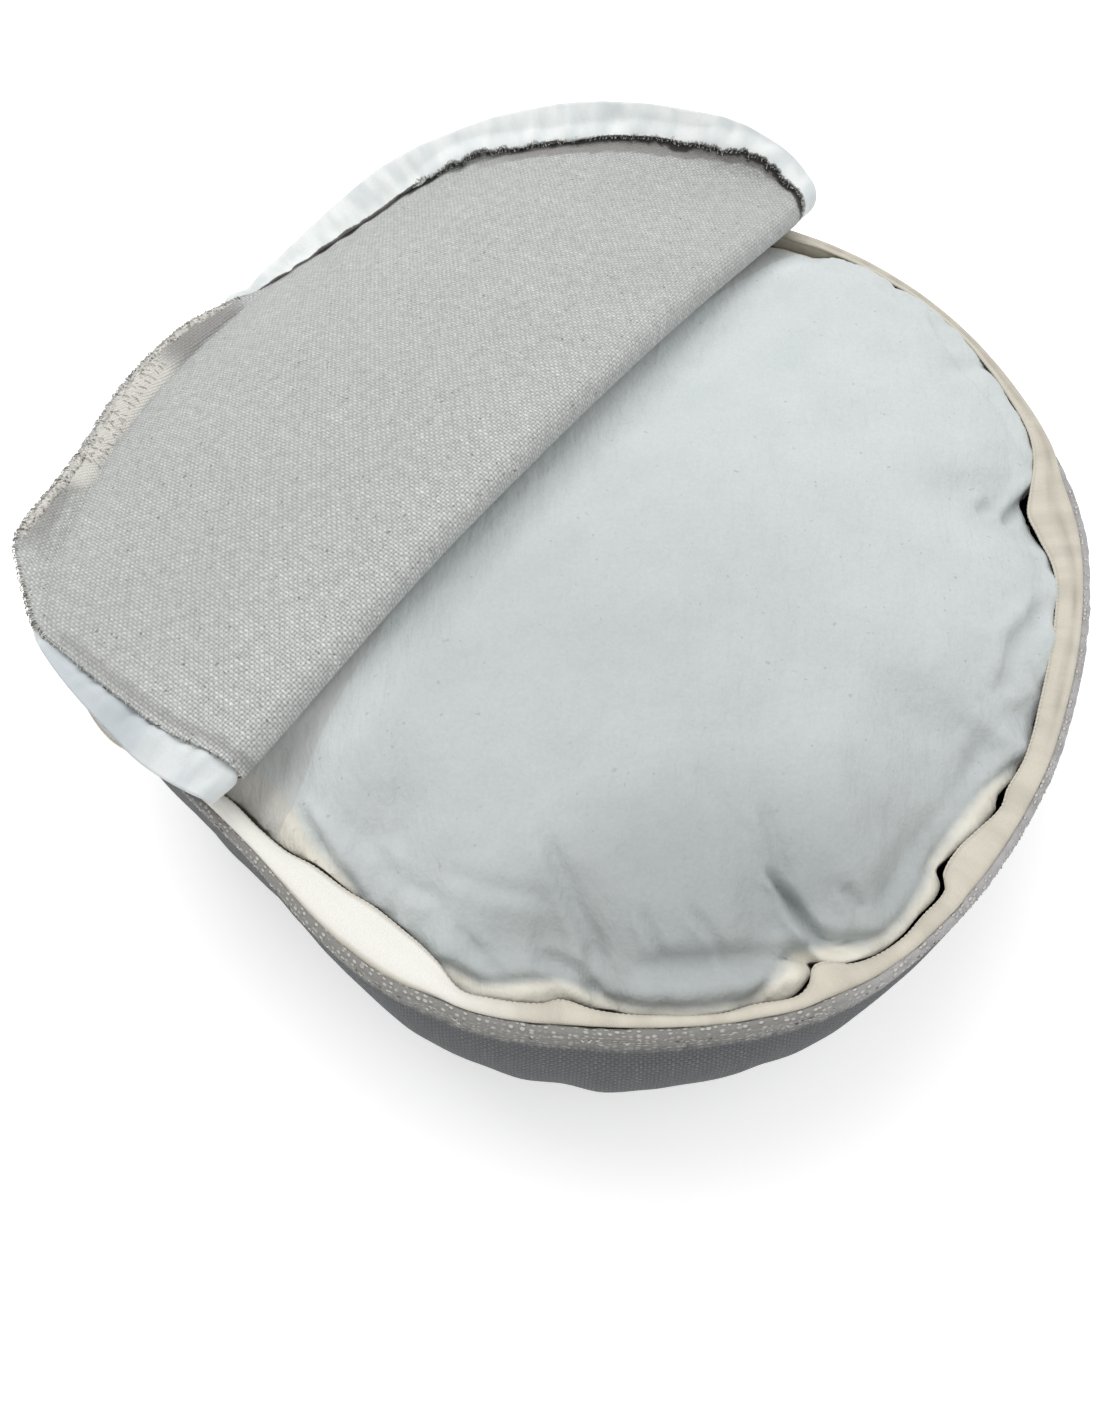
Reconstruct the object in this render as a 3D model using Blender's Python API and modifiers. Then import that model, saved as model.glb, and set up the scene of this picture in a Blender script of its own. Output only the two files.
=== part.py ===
"""A round floor cushion with its zipped canvas cover open.

The cover is a base disc, a side band and a top panel. A zip runs round the rim, with one half
of its tape sewn to the band and the other to the panel. The zip is open over the front and the
right, and the top panel is folded back on itself, so that the stuffed pillow inside shows.

Metres, +Z up. The origin is the centre of the underside, and +Y is away from the opening.
Angles are in degrees, anticlockwise from +X as seen from above.
"""

import math

import bmesh
import bpy
from mathutils import Vector

# Driving sizes
RIM_HEIGHT = 0.100  # floor to the top edge of the side band
RIM_RADIUS = 0.175  # the usual radius of that edge
CANVAS_THICK = 0.0018
TAPE_THICK = 0.0012
SEAM_GAP = 0.0003  # left between pieces that are sewn edge to edge

FOOT_ROUND = 0.011  # how far the band curves in under the cushion
FOOT_FLAT = 0.010  # how far it then lies flat on the floor before it meets the base
LOW_RADIUS = 0.172  # the band's radius just above the floor
FOOT_CURVE = (0.62, 0.22)  # the middle of that curve, as shares of it outwards and upwards
BULGE = 0.0085  # how far the band swells between floor and rim
FLATTENING = 0.55  # share of that swelling lost where the rim is pulled right in
FLATTENED_AT = 0.015  # how far in the rim is pulled there

PILLOW_RADIUS = 0.162
PILLOW_CROWN = 0.021  # the pillow's middle above its edge
PILLOW_SIDE_GAP = 0.0022  # between the pillow's side and the band
PILLOW_UNDERSIDE = 0.0023
PILLOW_EDGE_DROP = 0.006  # the rounded fall at the edge of the pillow's top
PILLOW_DROP_FROM = 0.86  # share of the way out where that fall starts
PILLOW_DROP_POWER = 2.2
PILLOW_ROUND_TO = 0.6  # share of the way out up to which the pillow is truly round
PILLOW_FOOT_HEIGHT = 0.014

PANEL_CROWN = 0.0235
PANEL_LAYER = 0.0030  # the lower layer's usual height over the rim
PANEL_CROWN_POWER = 2.2
PANEL_LIFT_POWER = 6  # how suddenly the layer rises or falls to its sewn edge
FOLD_DIRECTION = 52.0  # the line of the fold
FOLD_OFFSET = 0.0190  # from the cushion's axis to the centre of the roll
FOLD_BOW = 0.0030  # how far the fold lies behind its middle at BOW_PLACE along it
BOW_PLACE = 0.14
BOW_SETTLE = 0.05  # length of cloth over which the lower layer takes up that bow
FOLD_RADIUS = 0.0055
FLAP_GAP = 0.0034  # least distance from the flap down to the layer it lies on
FLAP_DROOP_POWER = 2.0

# Plan shape of the rim, and how far the rim sinks below its usual height.
RIM = [
    # angle, radius, sink
    (0, 0.1745, 0.000),
    (22, 0.1740, 0.000),
    (45, 0.1740, 0.000),
    (66, 0.1710, 0.001),
    (90, 0.1700, 0.006),
    (115, 0.1680, 0.012),
    (140, 0.1665, 0.016),
    (165, 0.1680, 0.017),
    (185, 0.1690, 0.011),
    (200, 0.1670, 0.003),
    (211, 0.1615, 0.000),
    (222, 0.1560, 0.000),
    (232, 0.1550, 0.000),
    (242, 0.1600, 0.000),
    (252, 0.1650, 0.000),
    (264, 0.1710, 0.000),
    (278, 0.1737, 0.000),
    (292, 0.1765, 0.000),
    (306, 0.1755, 0.000),
    (322, 0.1715, 0.000),
    (338, 0.1715, 0.000),
    (350, 0.1725, 0.000),
]

# Edge of the pillow's top, and how far that edge stands above the rim.
PILLOW_EDGE = [
    # angle, radius, rise
    (0, 0.1620, 0.001),
    (8, 0.1680, 0.005),
    (22, 0.1695, 0.009),
    (38, 0.1700, 0.011),
    (52, 0.1665, 0.008),
    (66, 0.1605, 0.002),
    (90, 0.1610, -0.005),
    (120, 0.1590, -0.010),
    (150, 0.1600, -0.018),
    (180, 0.1610, -0.013),
    (200, 0.1570, -0.004),
    (215, 0.1450, 0.000),
    (226, 0.1370, 0.000),
    (240, 0.1445, 0.000),
    (252, 0.1540, -0.001),
    (260, 0.1610, -0.001),
    (268, 0.1585, -0.001),
    (276, 0.1665, 0.000),
    (286, 0.1695, 0.000),
    (293, 0.1620, -0.001),
    (301, 0.1695, 0.000),
    (312, 0.1610, 0.000),
    (321, 0.1600, 0.000),
    (330, 0.1660, 0.000),
    (345, 0.1675, 0.003),
    (354, 0.1690, 0.002),
]

# Rings of the pillow from the middle of its top to the middle of its underside.
PILLOW_TOP_SHARES = [0.16, 0.32, 0.48, 0.62, 0.74, 0.83, 0.90, 0.95, 0.98, 1.0]
PILLOW_SIDE = [
    # share of the way down, share of the way out to the band
    (0.05, 0.30),
    (0.12, 0.60),
    (0.22, 0.85),
    (0.38, 0.98),
    (0.60, 1.00),
    (0.80, 1.00),
    (1.00, 1.00),
]
PILLOW_FOOT = [
    # inwards, height above the underside
    (0.0032, 0.0062),
    (0.0062, 0.0026),
    (0.0130, 0.0006),
    (0.0230, 0.0000),
    (0.0800, 0.0000),
]
PILLOW_SEGMENTS = 80

# Heights of the band's rows, as shares of the rim's height.
BAND_SHARES = [0.13, 0.30, 0.47, 0.62, 0.75, 0.86, 0.94, 1.0]
BAND_SEGMENTS = 88

# How the panel's sewn edge lies: set back from the rim and lifted over it.
PANEL_EDGE = [
    # angle, set back, lift
    (0, 0.0045, 0.0030),
    (20, 0.0045, 0.0036),
    (36, 0.0030, 0.0050),
    (50, -0.0010, 0.0060),
    (62, 0.0005, 0.0060),
    (74, 0.0008, 0.0034),
    (120, 0.0006, 0.0033),
    (178, 0.0006, 0.0036),
    (192, 0.0030, 0.0056),
    (206, 0.0070, 0.0066),
    (216, 0.0110, 0.0070),
    (226, 0.0122, 0.0068),
    (238, 0.0140, 0.0060),
    (246, 0.0150, 0.0050),
    (256, 0.0120, 0.0040),
    (262, 0.0090, 0.0030),
    (268, 0.0130, 0.0030),
    (276, 0.0175, 0.0030),
    (286, 0.0215, 0.0030),
    (298, 0.0200, 0.0030),
    (310, 0.0150, 0.0030),
    (322, 0.0105, 0.0030),
    (334, 0.0065, 0.0030),
]

# Height above the rim that the flap would reach at a circle round the whole cushion.
FLAP_EDGE = [
    # along the fold, height
    (-0.160, 0.012),
    (-0.140, 0.010),
    (-0.115, -0.001),
    (-0.085, -0.011),
    (-0.050, -0.017),
    (-0.010, -0.018),
    (0.030, -0.016),
    (0.065, -0.012),
    (0.095, -0.002),
    (0.120, 0.006),
    (0.142, 0.014),
    (0.160, 0.027),
    (0.175, 0.042),
]
FLAP_CIRCLE = 0.180
FLAP_LEAST_REACH = 0.02
PANEL_COLUMNS = 26
PANEL_EVENNESS = 0.65  # 1 for columns evenly spaced, 0 for columns crowded at both edges
LOWER_ROWS = 10
ROLL_ROWS = 7
FLAP_ROWS = 16
LOWER_CROWDING = 1.4  # how closely the rows of each layer crowd together
FLAP_CROWDING = 1.6
TIP_SHARE = 0.992  # how near the first and last rows come to the panel's tips
FAR_OUT = 0.2  # farther along the fold than the panel reaches
MARCH_STEP = 0.002  # length of cloth between the points of the flap's cross-section
SMOOTHING = 12
FLANGE_WIDTH = 0.008  # how far the closed part of the zip stands out from the rim
FLANGE_CLEAR = 0.0072  # the flap's least height over that part
FLAP_STEEPEST = 0.62
TAPE_LIFT = 0.0015  # from the band's edge up to the middle of the tape that is sewn along it
TAPE_GAP = 0.0007  # from the panel's edge to the edge of its tape
EDGE_PROBE = 0.006  # distance in from the panel's edge that tells which way it points
EDGE_TURN = 1.5  # degrees to each side that tell which way it runs

# The zip tape on the band: its free edge as seen from the rim. Round the back and the left it
# points outwards, where the zip is closed.
BAND_TAPE = [
    # angle, inwards, rise
    (-178, -0.0060, 0.0000),
    (-158, -0.0065, 0.0000),
    (-148, -0.0060, 0.0000),
    (-141, -0.0010, 0.0020),
    (-134, 0.0060, 0.0006),
    (-122, 0.0095, -0.0020),
    (-112, 0.0125, -0.0040),
    (-105, 0.0090, -0.0020),
    (-100, 0.0045, -0.0010),
    (-92, 0.0070, 0.0010),
    (-85, 0.0045, 0.0020),
    (-80, 0.0030, 0.0050),
    (-72, 0.0020, 0.0060),
    (-66, 0.0070, 0.0010),
    (-60, 0.0025, 0.0050),
    (-54, 0.0055, 0.0020),
    (-46, 0.0075, 0.0000),
    (-36, 0.0065, 0.0010),
    (-22, 0.0065, 0.0020),
    (-8, 0.0050, 0.0030),
    (8, 0.0024, 0.0050),
    (30, 0.0012, 0.0060),
    (48, 0.0012, 0.0050),
    (58, 0.0015, 0.0024),
    (64, -0.0015, 0.0020),
    (72, -0.0055, 0.0000),
    (90, -0.0060, 0.0000),
    (182, -0.0060, 0.0000),
]
BAND_TAPE_START = -178
BAND_TAPE_END = 181
BAND_TAPE_STEPS = 150
BAND_TAPE_ROWS = 2

# The zip tape on the panel: which way it points from the panel's edge, and how far.
PANEL_TAPE = [
    # angle, lean, width
    (-178, 0, 0.0060),
    (-150, 0, 0.0060),
    (-138, 0, 0.0090),
    (-128, -4, 0.0135),
    (-118, -6, 0.0132),
    (-104, -2, 0.0100),
    (-96, 10, 0.0072),
    (-92, 22, 0.0112),
    (-88, 34, 0.0150),
    (-83, 42, 0.0135),
    (-78, 45, 0.0115),
    (-68, 48, 0.0100),
    (-58, 48, 0.0121),
    (-50, 46, 0.0130),
    (-42, 42, 0.0122),
    (-36, 36, 0.0090),
    (-31, 36, 0.0082),
    (-24, 42, 0.0108),
    (-16, 48, 0.0142),
    (-10, 50, 0.0152),
    (-4, 50, 0.0154),
    (4, 50, 0.0150),
    (12, 50, 0.0156),
    (18, 46, 0.0157),
    (24, 42, 0.0145),
    (30, 38, 0.0131),
    (36, 36, 0.0125),
    (41, 35, 0.0130),
    (46, 32, 0.0122),
    (50, 26, 0.0118),
    (54, 14, 0.0095),
    (58, 5, 0.0075),
    (66, 0, 0.0065),
    (182, 0, 0.0060),
]
PANEL_TAPE_START = -178
PANEL_TAPE_END = 181
PANEL_TAPE_STEPS = 160
PANEL_TAPE_ROWS = 2

COLOURS = {
    # name: colour, roughness
    "canvas": ((0.52, 0.53, 0.51, 1.0), 0.95),
    "pillow_cotton": ((0.68, 0.72, 0.71, 1.0), 0.90),
    "cream_tape": ((0.72, 0.68, 0.58, 1.0), 0.80),
    "white_tape": ((0.82, 0.84, 0.83, 1.0), 0.80),
}


def clear_scene():
    for thing in list(bpy.data.objects):
        bpy.data.objects.remove(thing, do_unlink=True)


def material(name):
    colour, roughness = COLOURS[name]
    made = bpy.data.materials.new(name)
    made.use_nodes = True
    shader = made.node_tree.nodes["Principled BSDF"]
    shader.inputs["Base Color"].default_value = colour
    shader.inputs["Roughness"].default_value = roughness
    shader.inputs["Metallic"].default_value = 0.0
    return made


def hermite(before, start, end, after, share):
    """A smooth value between start and end, with slopes taken from the rows beside them."""
    lengths = [start[0] - before[0], end[0] - start[0], after[0] - end[0]]
    slope_in = (end[1] - before[1]) / (lengths[0] + lengths[1]) * lengths[1]
    slope_out = (after[1] - start[1]) / (lengths[1] + lengths[2]) * lengths[1]
    squared = share * share
    cubed = squared * share
    return (
        (2 * cubed - 3 * squared + 1) * start[1]
        + (cubed - 2 * squared + share) * slope_in
        + (3 * squared - 2 * cubed) * end[1]
        + (cubed - squared) * slope_out
    )


def read_table(rows, column, place):
    """The value of one column of a table at a place between its rows, held past both ends."""
    points = [(row[0], row[column]) for row in rows]
    if place <= points[0][0]:
        return points[0][1]
    if place >= points[-1][0]:
        return points[-1][1]
    points = [points[0]] + points + [points[-1]]
    points[0] = (points[1][0] - 1e-3, points[1][1])
    points[-1] = (points[-2][0] + 1e-3, points[-2][1])
    for index in range(1, len(points) - 2):
        start, end = points[index], points[index + 1]
        if start[0] <= place <= end[0]:
            share = (place - start[0]) / (end[0] - start[0])
            return hermite(points[index - 1], start, end, points[index + 2], share)
    return points[-1][1]


def read_round(rows, column, angle):
    """The same for a table that runs right round, from 0 to 360 degrees."""
    around = [(row[0] + turn, row[column]) for turn in (-360, 0, 360) for row in rows]
    return read_table(around, 1, angle % 360)


def smooth(share):
    share = min(1.0, max(0.0, share))
    return share * share * (3 - 2 * share)


def rim_radius(angle):
    return read_round(RIM, 1, angle)


def rim_sink(angle):
    return read_round(RIM, 2, angle)


def rim_height(angle):
    return RIM_HEIGHT - rim_sink(angle)


def low_radius(angle):
    return LOW_RADIUS + rim_radius(angle) - RIM_RADIUS


def band_radius(angle, height):
    """Radius of the band's mid-surface at a height above the floor."""
    rim = rim_radius(angle) + CANVAS_THICK / 2
    low = low_radius(angle)
    share = height / rim_height(angle)
    flattened = 1 - FLATTENING * smooth((RIM_RADIUS - rim) / FLATTENED_AT)
    swell = BULGE * flattened * math.sin(math.pi * min(1.0, share) ** 2)
    return low + (rim - low) * smooth(share) + swell


def polar(radius, angle, height):
    turn = math.radians(angle)
    return Vector((radius * math.cos(turn), radius * math.sin(turn), height))


def angle_of(point):
    return math.degrees(math.atan2(point.y, point.x))


def add_to_collection(name, mesh, colour, collection):
    made = bpy.data.objects.new(name, mesh)
    collection.objects.link(made)
    mesh.materials.clear()
    mesh.materials.append(material(colour))
    mesh.shade_smooth()
    return made


def thicken(piece, thickness):
    shell = piece.modifiers.new("Thickness", "SOLIDIFY")
    shell.thickness = thickness
    shell.offset = 0.0


def shaped_grid(columns, rows, place):
    """An open sheet: a flat grid whose points, from 0 to 1 each way, are moved by place."""
    form = bmesh.new()
    bmesh.ops.create_grid(form, x_segments=columns, y_segments=rows, size=0.5)
    for point in form.verts:
        point.co = place(point.co.x + 0.5, point.co.y + 0.5)
    mesh = bpy.data.meshes.new("sheet")
    form.to_mesh(mesh)
    form.free()
    return mesh


def shaped_tube(segments, rows, place):
    """An open sleeve: a cylinder without caps, whose angle and row number are moved by place."""
    form = bmesh.new()
    ring = bmesh.ops.create_circle(form, cap_ends=False, radius=1.0, segments=segments)
    edges = [edge for edge in form.edges]
    for row in range(1, rows):
        grown = bmesh.ops.extrude_edge_only(form, edges=edges)["geom"]
        for thing in grown:
            if isinstance(thing, bmesh.types.BMVert):
                thing.co.z = row
        edges = [thing for thing in grown if isinstance(thing, bmesh.types.BMEdge)]
    for point in form.verts:
        point.co = place(angle_of(point.co), round(point.co.z))
    bmesh.ops.recalc_face_normals(form, faces=form.faces)
    mesh = bpy.data.meshes.new("sleeve")
    form.to_mesh(mesh)
    form.free()
    return mesh


# Base


def base_radius(angle):
    return low_radius(angle) - FOOT_ROUND - FOOT_FLAT


def make_base(collection):
    form = bmesh.new()
    bmesh.ops.create_circle(form, cap_ends=True, radius=1.0, segments=BAND_SEGMENTS)
    for point in form.verts:
        angle = angle_of(point.co)
        point.co = polar(base_radius(angle), angle, CANVAS_THICK / 2)
    mesh = bpy.data.meshes.new("disc")
    form.to_mesh(mesh)
    form.free()
    base = add_to_collection("base_panel", mesh, "canvas", collection)
    thicken(base, CANVAS_THICK)
    return base


# Side band


def band_point(angle, row):
    """Rows 0 to 3 curl in under the cushion to the base, and the rest climb to the rim."""
    low_height = BAND_SHARES[0] * rim_height(angle)
    low_radius = band_radius(angle, low_height)
    flat_edge = low_radius - FOOT_ROUND
    middle = CANVAS_THICK / 2
    if row == 0:
        return polar(base_radius(angle) + SEAM_GAP, angle, middle)
    if row == 1:
        return polar(flat_edge, angle, middle)
    if row == 2:
        outwards, upwards = FOOT_CURVE
        return polar(flat_edge + FOOT_ROUND * outwards, angle, middle + FOOT_ROUND * upwards)
    height = BAND_SHARES[row - 3] * rim_height(angle)
    return polar(band_radius(angle, height), angle, height)


def make_band(collection):
    mesh = shaped_tube(BAND_SEGMENTS, len(BAND_SHARES) + 3, band_point)
    band = add_to_collection("side_band", mesh, "canvas", collection)
    thicken(band, CANVAS_THICK)
    return band


# Pillow


def pillow_rings():
    """Each ring as (kind, first number, second number), from the top to the underside."""
    rings = [("top", share, 0.0) for share in PILLOW_TOP_SHARES]
    rings += [("side", down, out) for down, out in PILLOW_SIDE]
    rings += [("foot", inwards, height) for inwards, height in PILLOW_FOOT]
    return rings


def pillow_top_radius(angle, share):
    """The unevenness of the pillow's edge dies away towards its middle."""
    edge = read_round(PILLOW_EDGE, 1, angle)
    uneven = smooth((share - PILLOW_ROUND_TO) / (1 - PILLOW_ROUND_TO))
    return share * (PILLOW_RADIUS + (edge - PILLOW_RADIUS) * uneven)


def pillow_top_height(angle, share):
    """Height of the pillow's top at a share of the way from its middle to its edge."""
    rise = read_round(PILLOW_EDGE, 2, angle)
    crown = PILLOW_CROWN * (1 - share**2)
    outer = max(0.0, (share - PILLOW_DROP_FROM) / (1 - PILLOW_DROP_FROM))
    return RIM_HEIGHT + crown + rise * share**4 - PILLOW_EDGE_DROP * outer**PILLOW_DROP_POWER


def pillow_point(angle, ring):
    kind, first, second = ring
    edge = read_round(PILLOW_EDGE, 1, angle)
    if kind == "top":
        return polar(pillow_top_radius(angle, first), angle, pillow_top_height(angle, first))
    top = pillow_top_height(angle, 1.0)
    if kind == "side":
        height = top + (PILLOW_FOOT_HEIGHT - top) * first
        inside = band_radius(angle, height) - CANVAS_THICK / 2 - PILLOW_SIDE_GAP
        return polar(edge + (inside - edge) * second, angle, height)
    side = band_radius(angle, PILLOW_FOOT_HEIGHT) - CANVAS_THICK / 2 - PILLOW_SIDE_GAP
    return polar(side - first, angle, PILLOW_UNDERSIDE + second)


def make_pillow(collection):
    rings = pillow_rings()
    bpy.ops.mesh.primitive_uv_sphere_add(
        segments=PILLOW_SEGMENTS, ring_count=len(rings) + 1
    )
    ball = bpy.context.object
    step = math.pi / (len(rings) + 1)
    for point in ball.data.vertices:
        ring = round(math.acos(max(-1.0, min(1.0, point.co.z))) / step)
        if ring == 0:
            point.co = (0, 0, RIM_HEIGHT + PILLOW_CROWN)
        elif ring > len(rings):
            point.co = (0, 0, PILLOW_UNDERSIDE)
        else:
            point.co = pillow_point(angle_of(point.co), rings[ring - 1])
    mesh = ball.data
    bpy.data.objects.remove(ball)
    return add_to_collection("inner_pillow", mesh, "pillow_cotton", collection)


# Top panel

ALONG = Vector(
    (math.cos(math.radians(FOLD_DIRECTION)), math.sin(math.radians(FOLD_DIRECTION)), 0)
)
BACKWARDS = Vector((-ALONG.y, ALONG.x, 0))
HALF_ROLL = math.pi * FOLD_RADIUS / 2
FLAT_FOLD = FOLD_OFFSET - HALF_ROLL  # where the fold lies in the flat panel


def panel_rim(angle):
    return rim_radius(angle) - read_round(PANEL_EDGE, 1, angle)


def panel_height(point):
    """Height of the mid-surface of the layer that lies on the pillow."""
    angle = angle_of(point)
    share = min(1.0, math.hypot(point.x, point.y) / panel_rim(angle))
    lift = read_round(PANEL_EDGE, 2, angle)
    base = RIM_HEIGHT + PANEL_LAYER + (lift - PANEL_LAYER) * share**PANEL_LIFT_POWER
    outer = share**PANEL_CROWN_POWER
    return base + PANEL_CROWN * (1 - outer) - rim_sink(angle) * outer


def flat_ends(back):
    """Where a row parallel to the fold meets the panel's edge on each side."""
    ends = []
    for side in (-1, 1):
        near, far = 0.0, side * FAR_OUT
        for _ in range(30):
            middle = (near + far) / 2
            point = ALONG * middle + BACKWARDS * back
            if point.length < panel_rim(angle_of(point)):
                near = middle
            else:
                far = middle
        ends.append(near)
    return ends


def flap_reach(along):
    """Length of cloth from the top of the roll to a circle round the whole cushion."""
    return FLAT_FOLD - HALF_ROLL + math.sqrt(max(FLAP_LEAST_REACH**2, FLAP_CIRCLE**2 - along**2))


def fold_offset(along):
    """From the cushion's axis to the centre of the roll, at a place along the fold."""
    return FOLD_OFFSET + FOLD_BOW * (along / BOW_PLACE) ** 2


def flap_floor(under):
    """The least height of the flap's mid-surface above a point of the plan."""
    past_rim = under.length - rim_radius(angle_of(under))
    least = 0.0
    if past_rim < 0:
        least = panel_height(under) + FLAP_GAP
    if past_rim < FLANGE_WIDTH:
        least = max(least, rim_height(angle_of(under)) + FLANGE_CLEAR)
    return least


def flap_section(along):
    """The flap cut at right angles to the fold, as (distance behind the axis, height) a step apart."""
    longest = flap_reach(along)
    steps = math.ceil(longest / MARCH_STEP) + 3
    back = fold_offset(along)
    top = panel_height(ALONG * along + BACKWARDS * back) + 2 * FOLD_RADIUS
    edge = RIM_HEIGHT + read_table(FLAP_EDGE, 1, along)
    heights = [top]
    floors = [top]
    steepest = FLAP_STEEPEST * MARCH_STEP
    for step in range(1, steps + 1):
        share = min(1.0, step * MARCH_STEP / longest)
        aim = top + (edge - top) * share**FLAP_DROOP_POWER
        floors.append(flap_floor(ALONG * along + BACKWARDS * (back + MARCH_STEP)))
        aim = max(aim, floors[-1])
        change = max(-steepest, min(steepest, aim - heights[-1]))
        heights.append(heights[-1] + change)
        back += math.sqrt(MARCH_STEP**2 - change**2)
    for _ in range(SMOOTHING):
        inner = [sum(heights[step - 1 : step + 2]) / 3 for step in range(1, steps)]
        heights = [heights[0]] + inner + [2 * inner[-1] - inner[-2]]
        heights = [max(height, floor) for height, floor in zip(heights, floors)]
    section = [(fold_offset(along), top)]
    for before, after in zip(heights, heights[1:]):
        run = math.sqrt(max(MARCH_STEP**2 / 4, MARCH_STEP**2 - (after - before) ** 2))
        section.append((section[-1][0] + run, after))
    return section


def drape(along, back):
    """Where a point of the flat panel lies on the folded one."""
    past = FLAT_FOLD - back
    if past <= -HALF_ROLL:
        bow = (fold_offset(along) - FOLD_OFFSET) * smooth(1 + (past + HALF_ROLL) / BOW_SETTLE)
        point = ALONG * along + BACKWARDS * (back + bow)
        point.z = panel_height(point)
        return point
    if past < HALF_ROLL:
        turn = past / FOLD_RADIUS
        centre = ALONG * along + BACKWARDS * fold_offset(along)
        point = centre - BACKWARDS * FOLD_RADIUS * math.cos(turn)
        point.z = panel_height(centre) + FOLD_RADIUS * (1 + math.sin(turn))
        return point
    section = flap_section(along)
    place = (past - HALF_ROLL) / MARCH_STEP
    step = min(int(place), len(section) - 2)
    start, end = section[step], section[step + 1]
    point = ALONG * along + BACKWARDS * (start[0] + (end[0] - start[0]) * (place - step))
    point.z = start[1] + (end[1] - start[1]) * (place - step)
    return point


def panel_rows():
    """The flat panel's rows, close together at the fold and at the lower layer's far side."""
    tips = [side * panel_rim(FOLD_DIRECTION + 90 * side) * TIP_SHARE for side in (1, -1)]
    lower, upper = FLAT_FOLD + HALF_ROLL, FLAT_FOLD - HALF_ROLL
    rows = []
    for row in range(LOWER_ROWS):
        share = math.sin(row / LOWER_ROWS * math.pi / 2) ** LOWER_CROWDING
        rows.append(tips[0] + (lower - tips[0]) * share)
    for row in range(ROLL_ROWS):
        rows.append(lower + (upper - lower) * row / ROLL_ROWS)
    for row in range(FLAP_ROWS + 1):
        share = 1 - (1 - row / FLAP_ROWS) ** FLAP_CROWDING
        rows.append(upper + (tips[1] - upper) * share)
    return rows


def make_top_panel(collection):
    rows = panel_rows()
    ends = [flat_ends(back) for back in rows]

    def place(across, down):
        row = round(down * (len(rows) - 1))
        left, right = ends[row]
        crowded = (1 - math.cos(across * math.pi)) / 2
        share = crowded + (across - crowded) * PANEL_EVENNESS
        return drape(left + (right - left) * share, rows[row])

    mesh = shaped_grid(PANEL_COLUMNS, len(rows) - 1, place)
    panel = add_to_collection("top_panel", mesh, "canvas", collection)
    thicken(panel, CANVAS_THICK)
    return panel


# Zip tapes


def band_tape_point(along, across):
    """The tape is sewn along the top of the band's edge."""
    angle = BAND_TAPE_START + (BAND_TAPE_END - BAND_TAPE_START) * along
    inwards = read_table(BAND_TAPE, 1, angle)
    rise = read_table(BAND_TAPE, 2, angle)
    root = rim_radius(angle) + CANVAS_THICK / 2
    root_height = rim_height(angle) + TAPE_LIFT
    return polar(root - inwards * across, angle, root_height + rise * across)


def make_band_tape(collection):
    mesh = shaped_grid(BAND_TAPE_STEPS, BAND_TAPE_ROWS, band_tape_point)
    tape = add_to_collection("band_zip_tape", mesh, "cream_tape", collection)
    thicken(tape, TAPE_THICK)
    return tape


def flat_edge(angle, outwards=0.0):
    """A point of the flat panel at its edge, as distances along and behind the fold."""
    point = polar(panel_rim(angle) + outwards, angle, 0)
    return point.dot(ALONG), point.dot(BACKWARDS)


def panel_tape_frame(angle):
    """A point of the panel's edge, with the ways out from it and up from its inner face."""
    edge = drape(*flat_edge(angle))
    outwards = edge - drape(*flat_edge(angle, -EDGE_PROBE))
    tangent = drape(*flat_edge(angle + EDGE_TURN)) - drape(*flat_edge(angle - EDGE_TURN))
    past = FLAT_FOLD - flat_edge(angle)[1]
    outwards.z *= smooth(past / HALF_ROLL - 1)
    tangent.normalize()
    outwards = (outwards - tangent * outwards.dot(tangent)).normalized()
    return edge, outwards, tangent.cross(outwards)


def make_panel_tape(collection):
    """The tape leaves the panel's edge at a lean that changes round the panel."""
    turn = PANEL_TAPE_END - PANEL_TAPE_START
    angles = [
        PANEL_TAPE_START + turn * step / PANEL_TAPE_STEPS for step in range(PANEL_TAPE_STEPS + 1)
    ]
    frames = [panel_tape_frame(angle) for angle in angles]

    def place(along, across):
        step = round(along * PANEL_TAPE_STEPS)
        beside = frames[max(0, step - 2) : step + 3]
        outwards = sum((frame[1] for frame in beside), Vector()).normalized()
        inside = sum((frame[2] for frame in beside), Vector()).normalized()
        lean = math.radians(read_table(PANEL_TAPE, 1, angles[step]))
        width = read_table(PANEL_TAPE, 2, angles[step])
        root = frames[step][0] + outwards * (TAPE_GAP + TAPE_THICK / 2)
        return root + (outwards * math.cos(lean) + inside * math.sin(lean)) * width * across

    mesh = shaped_grid(PANEL_TAPE_STEPS, PANEL_TAPE_ROWS, place)
    tape = add_to_collection("panel_zip_tape", mesh, "white_tape", collection)
    thicken(tape, TAPE_THICK)
    return tape


def main():
    clear_scene()
    collection = bpy.data.collections.new("floor_cushion")
    bpy.context.scene.collection.children.link(collection)
    make_base(collection)
    make_band(collection)
    make_pillow(collection)
    make_top_panel(collection)
    make_band_tape(collection)
    make_panel_tape(collection)


main()
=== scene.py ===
import math
import random

import bmesh
import bpy
import numpy as np
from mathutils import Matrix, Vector, noise


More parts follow.
